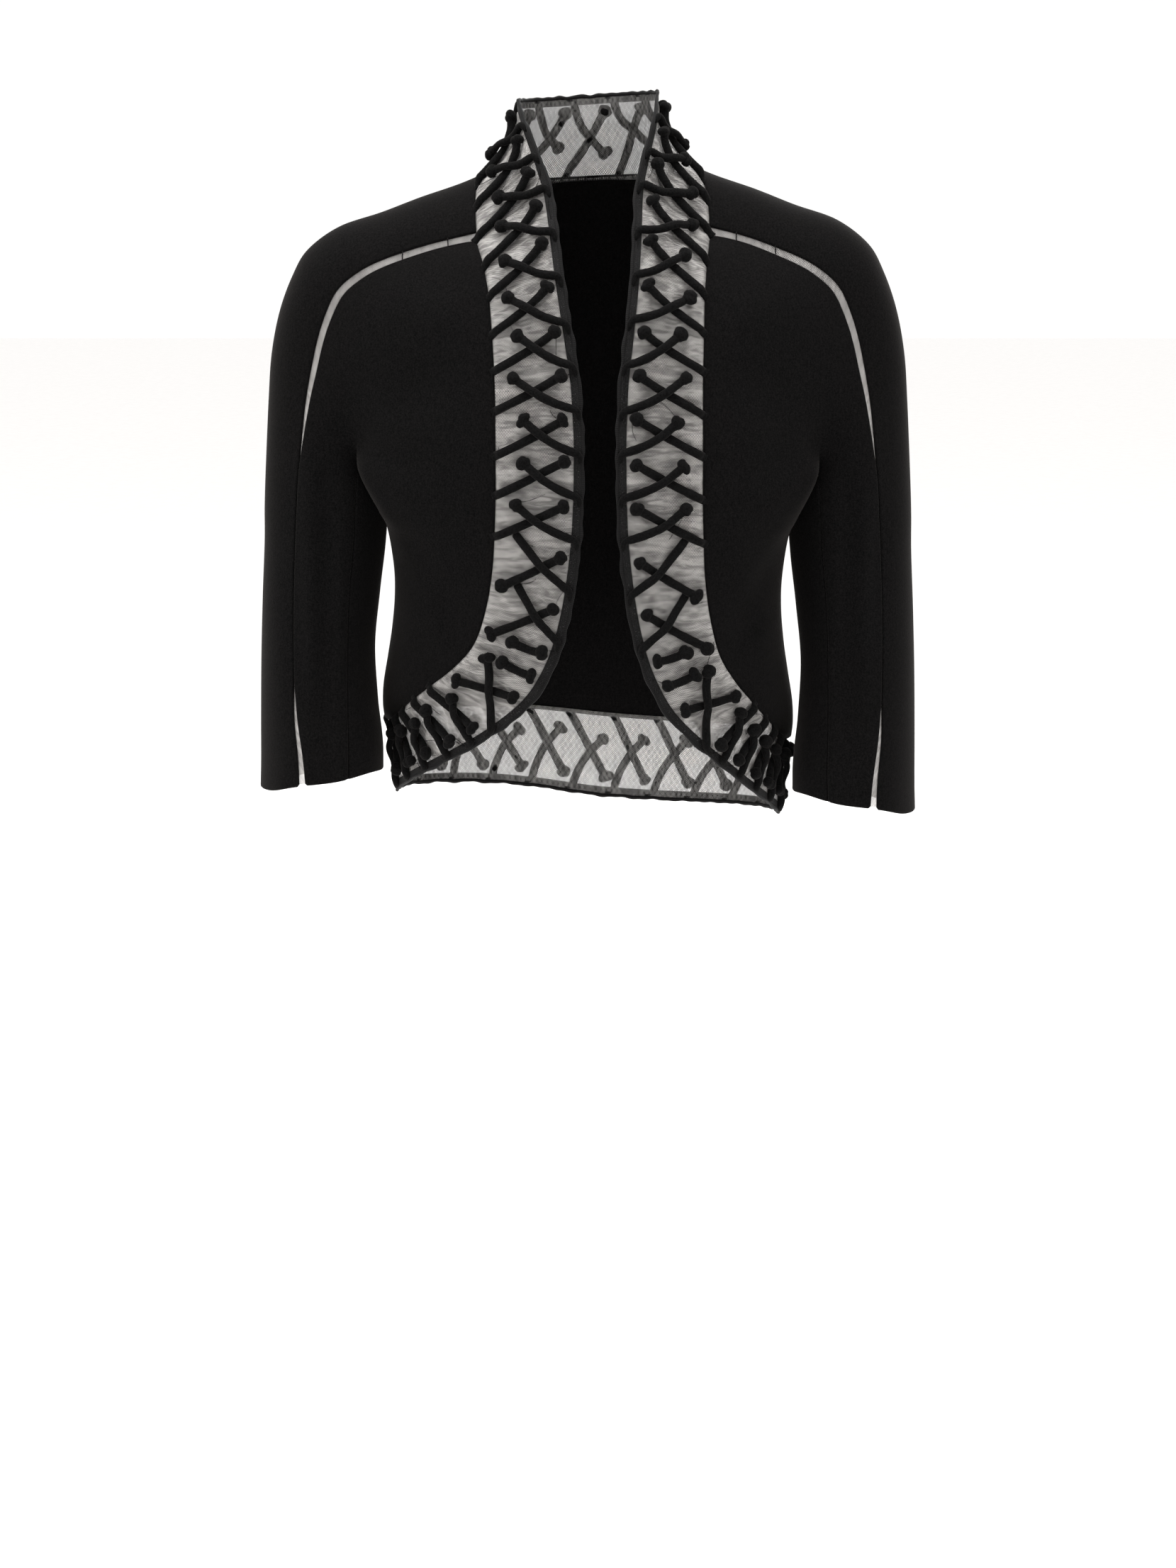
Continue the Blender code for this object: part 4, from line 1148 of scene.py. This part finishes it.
def make_cross(shape, band, courses, draw):
    """One cross: the knotted cord to the free edge lies over the one from the cloth seam."""
    over, under, over_start, under_start = courses
    over_at, under_at = crossing(over, under)
    lay_cord(shape, band, over, (over_start, "rim"), draw, over_at, CROSS_LIFT)
    lay_cord(shape, band, under, (under_start, "knot"), draw, under_at)


def make_cords(bands, cord):
    """Every cross and bar. Returns the courses and the pieces of the cords on each band."""
    courses, pieces = {}, {}
    draw, wander = random.Random(SEED), random.Random(SEED + 2)
    for side, tag in SIDES:
        band = other_side(bands["front"], side)
        laid = courses["front_" + tag] = []
        made = pieces["front_" + tag] = []
        for zone in FRONT_ZONES:
            for i, spot in enumerate(zone.places):
                name = "cross_%s_%s_%02d" % (zone.name, tag, i + 1)
                planned = cross_courses(zone, spot, draw, wander)
                laid.extend(planned[:2])
                made.append(cord_piece("corded_" + name, cord, make_cross, band, planned, wander))
                show(made[-1], "cord", name)
        for i, spot in enumerate(BAR_PLACES):
            course = cord_line(BAR_CORD, spot, spot + BAR_LEAN)
            laid.append(course)
            made.append(cord_piece("knotted_bar_%s_%d" % (tag, i + 1), cord, lay_cord, band, course,
                                   ("knot", "knot"), wander))
            show(made[-1], "cord", "bar_%s_%d" % (tag, i + 1))
    draw = random.Random(SEED + 1)
    for part, zone in (("neck", NECK_ZONE), ("hem", HEM_ZONE)):
        band = full_round(bands[part])
        laid = courses[part] = []
        made = pieces[part] = []
        first = (middle_run(band)[1][-1] - (zone.count - 1) * zone.pitch) / 2
        for i in range(zone.count):
            planned = cross_courses(zone, first + i * zone.pitch, draw, wander)
            laid.extend(planned[:2])
            made.append(cord_piece("corded_cross_%s_%02d" % (zone.name, i + 1), cord, make_cross, band,
                                   planned, wander))
            show(made[-1], "cord", "trim_" + zone.name)
    return courses, pieces


# Sewing thread.
def lay_thread(shape, centres, radius):
    thick = np.full(len(centres), radius)
    tube(shape, centres, thick, thick, np.broadcast_to(THREAD_UP, centres.shape), THREAD_SIDES)


def make_threads(bands, courses, thread):
    """The thread bars of both insertions and the loose ends on both front bands."""
    draw = random.Random(SEED + 4)
    fine = fine_rows(top_rows())
    for side, tag in SIDES:
        shape = bmesh.new()
        for reach in THREAD_BARS:
            i = int(np.argmin(np.abs(fine[:len(fine) // 2, 0, 0] - reach)))
            sideways = unit(fine[i, 0] - fine[i, 1])
            centres = fine[i, 0] + sideways * np.linspace(-BAR_HALF, BAR_HALF, BAR_RINGS)[:, None]
            lay_thread(shape, settle(mirrored(centres, side)), BAR_RADIUS)
        show(closed_piece("thread_bars_" + tag, shape, [thread]), "cord")
        shape = bmesh.new()
        band = other_side(bands["front"], side)
        for _ in range(LOOSE_THREADS):
            run, across = draw.choice(courses["front_" + tag])
            end = draw.choice((0, -1))
            length, heading = draw.uniform(*LOOSE_LENGTHS), draw.uniform(0, 2 * math.pi)
            share = np.linspace(0, 1, LOOSE_RINGS)
            turn = heading + either_way(draw, LOOSE_CURL) * share
            step = length / LOOSE_RINGS
            along = run[end] + np.cumsum(np.cos(turn)) * step
            over = np.clip(across[end] + np.cumsum(np.sin(turn)) * step / BAND_WIDTH, *LOOSE_WITHIN)
            places = np.interp(along, *middle_run(band)[::-1])
            lift = (LOOSE_LIFT + draw.uniform(*LOOSE_RISE) * np.sin(math.pi * share))[:, None]
            centres = band_points(band, places, over) + band_normals(band, places, over) * lift
            lay_thread(shape, settle(centres), THREAD_RADIUS)
        show(closed_piece("loose_threads_" + tag, shape, [thread]), "cord")


# Tulle and its free edge.
def relief(run, across, courses, draw):
    """How far the net stands out at each point of a band, in millimetres."""
    height = np.zeros(np.broadcast(run, across).shape)
    for _ in range(SLACK_WAVES):
        heading, length = draw.uniform(0, math.pi), draw.uniform(*SLACK_LENGTHS)
        wave = (run * math.cos(heading) + across * math.sin(heading)) * 2 * math.pi / length
        height += SLACK * np.sin(wave + draw.uniform(0, 2 * math.pi))
    drawn_in = np.zeros(height.shape)
    for course_run, course_across in courses:
        line = np.stack([course_run, course_across * BAND_WIDTH], axis=1)[::STITCH_RINGS]
        near = np.abs(run[:, 0] - line[:, 0].mean()) < STITCH_NEAR
        gaps = np.full((int(near.sum()), height.shape[1]), np.inf)
        for x, y in line:
            gaps = np.minimum(gaps, (run[near] - x) ** 2 + (across - y) ** 2)
        drawn_in[near] = np.maximum(drawn_in[near], np.exp(-gaps / STITCH_REACH ** 2))
        for x, y in (line[0], line[-1]):
            away = np.hypot(run[near] - x, across - y)
            turn = np.arctan2(across - y, run[near] - x)
            rays = draw.choice(PUCKER_RAYS) * turn + draw.uniform(0, 2 * math.pi)
            ridge = np.maximum(np.cos(rays), 0) ** 2
            height[near] += PUCKER * ridge * np.exp(-((away - PUCKER_AT) / PUCKER_REACH) ** 2)
    return height - STITCHED_IN * drawn_in


def make_bands(bands, courses, nets, turned, rim):
    """The tulle bands with their turned edges and rolled rims."""
    draw = random.Random(SEED + 3)
    lengths = {"front_left": (bands["front"], "binding_front_left"),
               "front_right": (other_side(bands["front"], -1), "binding_front_right"),
               "neck": (full_round(bands["neck"]), "trim_neck_back"),
               "hem": (full_round(bands["hem"]), "trim_hem_back")}
    for name, (band, trim) in lengths.items():
        places, runs = middle_run(band)
        run = np.linspace(0, runs[-1], round(runs[-1] / TULLE_STEP))[:, None]
        shares = np.linspace(-TULLE_ALLOWANCE, 1, round(BAND_WIDTH / TULLE_STEP))[None, :]
        where = np.interp(run, runs, places)
        across = shares * BAND_WIDTH
        stand = relief(run, across, courses[name], draw)
        loose = smooth(shares / NET_LOOSE_OVER) * smooth((NET_FLAT_FROM - shares) / NET_FLAT_OVER)
        stand = stand * loose - TUCK_DEPTH * (1 - smooth((shares - TUCK_FROM) / TUCK_OVER))
        normals = band_normals(band, where, shares)
        net_points = settle(band_points(band, where, shares) + normals * stand[..., None])
        spread = np.broadcast_arrays(across, run)
        sheet = cloth_piece("tulle_" + name, [(net_points, *spread)], band.inside, TULLE_WALL, nets)
        show(sheet, "tulle", "band_" + name)
        edge = rolled_rim("bound_edge_" + name, band, where[:, 0], run[:, 0], [turned, rim], draw)
        show(edge, "binding", trim)


def rolled_rim(name, band, places, run, finishes, draw):
    """The free edge: net turned over in a narrow strip, and a rolled binding along it."""
    shape = bmesh.new()
    rows = places[:, None]
    shares = np.linspace(1 - TURNED_EDGE / BAND_WIDTH, 1.0, TURNED_COLUMNS)[None]
    spread = np.broadcast_arrays(shares * BAND_WIDTH, run[:, None])
    for lift in (TURNED_LIFT, TURNED_LIFT + TURNED_WALL):
        points = band_points(band, rows, shares) + band_normals(band, rows, shares) * lift
        lay_grid(shape, settle(points), *spread, finish=0)
    edge = band_points(band, places, 1.0)
    away = unit(edge - band_points(band, places, RIM_INNER))
    wander = sum(np.sin(run * 2 * math.pi / draw.uniform(*RIM_LENGTHS) + draw.uniform(*PHASES))
                 for _ in range(RIM_WAVES))
    centres = settle(edge + away * (BINDING_RADIUS * RIM_OUT + RIM_WANDER * wander)[:, None])
    thick = BINDING_RADIUS * (1 + RIM_SWELL * wander)
    tube(shape, centres, thick, thick * RIM_FLATNESS, band_normals(band, places, 1.0), RIM_SIDES, finish=1)
    return closed_piece(name, shape, finishes)


# Finishes.
def linear(colour):
    """An sRGB hex colour as linear RGBA."""
    parts = [int(colour[i:i + 2], 16) / 255 for i in (1, 3, 5)]
    return (*(c / 12.92 if c <= 0.04045 else ((c + 0.055) / 1.055) ** 2.4 for c in parts), 1.0)


def set_inputs(tree, node, inputs):
    """Give each named input of a node its value, or a link where that is another node's output."""
    for name, value in inputs.items():
        if isinstance(value, bpy.types.NodeSocket):
            tree.links.new(value, node.inputs[name])
        else:
            node.inputs[name].default_value = value


def add(tree, kind, inputs=None, tones=(), **settings):
    """Add a node with its settings, inputs and links, and the places and colours of its ramp."""
    node = tree.nodes.new(kind)
    for name, value in settings.items():
        setattr(node, name, value)
    for i, (place, colour) in enumerate(tones):
        node.color_ramp.elements[i].position = place
        node.color_ramp.elements[i].color = linear(colour)
    set_inputs(tree, node, inputs or {})
    return node


def new_finish(name):
    """A material, its node tree and its shader."""
    made = bpy.data.materials.new(name)
    made.use_nodes = True
    return made, made.node_tree, made.node_tree.nodes["Principled BSDF"]


def wool_crepe():
    """Felted wool crepe, dyed black and lightly raised: a dry, matt black with a soft grey bloom.

    The crepe's pebble is about half a millimetre, and is drawn at 1.2 mm so that it shows. The nap
    is drawn coarser too, in streaks 0.7 to the millimetre across and 0.26 along.
    """
    made, tree, shader = new_finish("felted wool crepe")
    spot = add(tree, "ShaderNodeTexCoord").outputs["Object"]
    pebble = add(tree, "ShaderNodeTexNoise", {"Vector": spot, "Scale": 1 / (1.2 * MM), "Detail": 3.0})
    nap = add(tree, "ShaderNodeMapping", {"Vector": spot, "Scale": (0.7 / MM, 0.7 / MM, 0.26 / MM)})
    streaks = add(tree, "ShaderNodeTexNoise", {"Vector": nap.outputs["Vector"], "Scale": 1.0, "Detail": 2.0})
    grain = add(tree, "ShaderNodeMix", {"Factor": 0.3, "A": pebble.outputs["Fac"],
                                        "B": streaks.outputs["Fac"]}).outputs["Result"]
    colour = add(tree, "ShaderNodeValToRGB", {"Fac": grain}, ((0.36, "#030303"), (0.66, "#0d0c0c")))
    bump = add(tree, "ShaderNodeBump", {"Height": grain, "Strength": 0.5, "Distance": 0.5 * MM})
    set_inputs(tree, shader, {"Base Color": colour.outputs["Color"], "Normal": bump.outputs["Normal"],
                              "Roughness": 0.93, "IOR": 1.45, "Specular IOR Level": 0.04,
                              "Sheen Weight": 0.055, "Sheen Roughness": 0.4,
                              "Sheen Tint": linear("#b9b2ae")})
    return made


def net_threads(tree, uv, net):
    """Where the threads of a net lie: two sets of lines that lean two ways.

    The lines wander by up to 0.9 mm over about 9 mm, as a soft net does.
    """
    wander = add(tree, "ShaderNodeTexNoise", {"Vector": uv, "Scale": 1 / (9 * MM), "Detail": 1.0})
    shift = add(tree, "ShaderNodeVectorMath", {0: wander.outputs["Color"], 1: (0.9 * MM, 0.9 * MM, 0)},
                operation="MULTIPLY")
    loose = add(tree, "ShaderNodeVectorMath", {0: uv, 1: shift.outputs["Vector"]}, operation="ADD")
    lines = []
    for turn in (net.lean, -net.lean):
        turned = add(tree, "ShaderNodeMapping", {"Vector": loose.outputs["Vector"],
                                                 "Rotation": (0, 0, math.radians(turn))})
        split = add(tree, "ShaderNodeSeparateXYZ", {"Vector": turned.outputs["Vector"]})
        swing = add(tree, "ShaderNodeMath", {0: split.outputs["X"], 1: net.cell / 2 * MM},
                    operation="PINGPONG")
        line = add(tree, "ShaderNodeMath", {0: swing.outputs["Value"], 1: net.thread / 2 * MM},
                   operation="LESS_THAN")
        lines.append(line.outputs["Value"])
    return add(tree, "ShaderNodeMath", {0: lines[0], 1: lines[1]}, operation="MAXIMUM").outputs["Value"]


def tulle_net(net):
    """Nylon tulle: a fine net that is open between its threads, which shine a little.

    Streaks 16 mm long and 4.2 mm apart, lighter and darker, are painted shade and highlight of fine
    crease lines too narrow for the mesh to carry. On the outer side and the insertion the pale thread
    tones are painted light as well.
    """
    made, tree, shader = new_finish(net.name)
    uv = add(tree, "ShaderNodeUVMap").outputs["UV"]
    drawn = add(tree, "ShaderNodeMapping", {"Vector": uv, "Rotation": (0, 0, math.radians(28)),
                                            "Scale": (1 / (16 * MM), 1 / (4.2 * MM), 1)})
    # Painted crease shade and highlight: a stretched noise moves the thread colour from dark to light.
    painted_crease_shade = add(tree, "ShaderNodeTexNoise", {"Vector": drawn.outputs["Vector"], "Scale": 1.0,
                                               "Detail": 2.0, "Distortion": 1.2})
    colour = add(tree, "ShaderNodeValToRGB", {"Fac": painted_crease_shade.outputs["Fac"]},
                 ((0.35, net.dark), (0.65, net.light)))
    set_inputs(tree, shader, {"Base Color": colour.outputs["Color"], "Alpha": net_threads(tree, uv, net),
                              "Roughness": 0.55, "IOR": 1.53, "Specular IOR Level": 0.3,
                              "Sheen Weight": 0.15, "Sheen Roughness": 0.4})
    return made


def turned_tulle():
    """Tulle turned over on itself and stitched: nearly closed, speckled grey where it is pierced.

    A speckle is about as wide as a cell of the net, 0.9 mm.
    """
    made, tree, shader = new_finish("turned tulle edge")
    uv = add(tree, "ShaderNodeUVMap").outputs["UV"]
    speckle = add(tree, "ShaderNodeTexNoise", {"Vector": uv, "Scale": 1 / (0.9 * MM), "Detail": 2.0})
    colour = add(tree, "ShaderNodeValToRGB", {"Fac": speckle.outputs["Fac"]},
                 ((0.42, "#040404"), (0.72, "#1f1e1e")))
    covered = add(tree, "ShaderNodeMath", {0: speckle.outputs["Fac"], 1: 0.34}, operation="GREATER_THAN")
    set_inputs(tree, shader, {"Base Color": colour.outputs["Color"], "Alpha": covered.outputs["Value"],
                              "Roughness": 0.6, "IOR": 1.53, "Specular IOR Level": 0.06,
                              "Sheen Weight": 0.03})
    return made


def felted_cord():
    """Crepe cut on the bias and drawn round a soft core: matt black with a short fuzz.

    The fuzz is finer than half a millimetre, and is drawn at 1.1 mm so that it shows.
    """
    made, tree, shader = new_finish("bias crepe cord")
    spot = add(tree, "ShaderNodeTexCoord").outputs["Object"]
    fuzz = add(tree, "ShaderNodeTexNoise", {"Vector": spot, "Scale": 1 / (1.1 * MM), "Detail": 4.0})
    colour = add(tree, "ShaderNodeValToRGB", {"Fac": fuzz.outputs["Fac"]},
                 ((0.35, "#030303"), (0.65, "#0d0d0d")))
    bump = add(tree, "ShaderNodeBump", {"Height": fuzz.outputs["Fac"], "Strength": 0.6,
                                        "Distance": 0.7 * MM})
    set_inputs(tree, shader, {"Base Color": colour.outputs["Color"], "Normal": bump.outputs["Normal"],
                              "Roughness": 0.95, "IOR": 1.45, "Specular IOR Level": 0.04,
                              "Sheen Weight": 0.04, "Sheen Roughness": 0.5,
                              "Sheen Tint": linear("#b9b2ae")})
    return made


def rolled_binding():
    """A narrow silk binding rolled over the edge: black, with the low shine of its fine ribs.

    The ribs are finer than half a millimetre, and are drawn 1.57 mm apart so that they show. A wave
    texture of scale 1 repeats every tenth of pi metres.
    """
    made, tree, shader = new_finish("rolled silk binding")
    uv = add(tree, "ShaderNodeUVMap").outputs["UV"]
    ribs = add(tree, "ShaderNodeTexWave", {"Vector": uv, "Scale": math.pi / 10 / (1.5708 * MM),
                                           "Distortion": 2.0}, bands_direction="Y")
    colour = add(tree, "ShaderNodeValToRGB", {"Fac": ribs.outputs["Fac"]},
                 ((0.2, "#040404"), (0.8, "#100f0f")))
    bump = add(tree, "ShaderNodeBump", {"Height": ribs.outputs["Fac"], "Strength": 0.4,
                                        "Distance": 0.4 * MM})
    set_inputs(tree, shader, {"Base Color": colour.outputs["Color"], "Normal": bump.outputs["Normal"],
                              "Roughness": 0.7, "IOR": 1.5, "Specular IOR Level": 0.08,
                              "Sheen Weight": 0.03})
    return made


def studio_floor():
    """Matt studio paper: an even pale grey, clouded every 25 mm."""
    made, tree, shader = new_finish("studio paper")
    spot = add(tree, "ShaderNodeTexCoord").outputs["Object"]
    fibre = add(tree, "ShaderNodeTexNoise", {"Vector": spot, "Scale": 1 / (25 * MM), "Detail": 2.0})
    colour = add(tree, "ShaderNodeValToRGB", {"Fac": fibre.outputs["Fac"]},
                 ((0.35, "#f9f8f7"), (0.65, "#fcfbfa")))
    set_inputs(tree, shader, {"Base Color": colour.outputs["Color"], "Roughness": 0.95})
    return made


def studio():
    """The floor, the lamps, the sky and the camera."""
    shape = bmesh.new()
    bmesh.ops.create_grid(shape, x_segments=FLOOR_PARTS, y_segments=FLOOR_PARTS, size=FLOOR_SIZE / 2)
    bmesh.ops.translate(shape, verts=shape.verts, vec=(0, 0, FLOOR_Z))
    add_piece("studio_floor", shape, [studio_floor()])
    for lamp in LAMPS:
        light = bpy.data.lights.new(lamp.name, "AREA")
        light.shape = "DISK"
        light.size = lamp.size
        light.energy = lamp.power
        holder = bpy.data.objects.new(lamp.name, light)
        holder.location = lamp.place
        holder.rotation_euler = (AIM - Vector(lamp.place)).to_track_quat("-Z", "Y").to_euler()
        bpy.context.scene.collection.objects.link(holder)
    world = bpy.data.worlds.new("pale studio")
    world.use_nodes = True
    sky = world.node_tree.nodes["Background"]
    sky.inputs["Color"].default_value = linear(SKY_COLOUR)
    sky.inputs["Strength"].default_value = SKY_STRENGTH
    bpy.context.scene.world = world
    bpy.context.scene.view_settings.view_transform = "Standard"
    lens = bpy.data.cameras.new("camera")
    lens.lens = CAMERA_LENS
    lens.sensor_width = SENSOR
    camera = bpy.data.objects.new("camera", lens)
    camera.location = CAMERA_PLACE
    camera.rotation_euler = (math.radians(90 - CAMERA_PITCH), 0, 0)
    bpy.context.scene.collection.objects.link(camera)
    bpy.context.scene.camera = camera


crepe = wool_crepe()
# The outer tulle and the insertion are painted light: pale grey threads for sheen and see-through light.
tulle = [tulle_net(net) for net in (OUTER_NET_PAINTED_LIGHT, INNER_NET)]
painted_light_insert_net = tulle_net(INSERT_NET_PAINTED_LIGHT)

band_runs = band_lines()
make_crepe(crepe, painted_light_insert_net)
cord_finish = felted_cord()
band_courses, band_cords = make_cords(band_runs, cord_finish)
make_threads(band_runs, band_courses, cord_finish)
make_bands(band_runs, band_courses, tulle, turned_tulle(), rolled_binding())
studio()
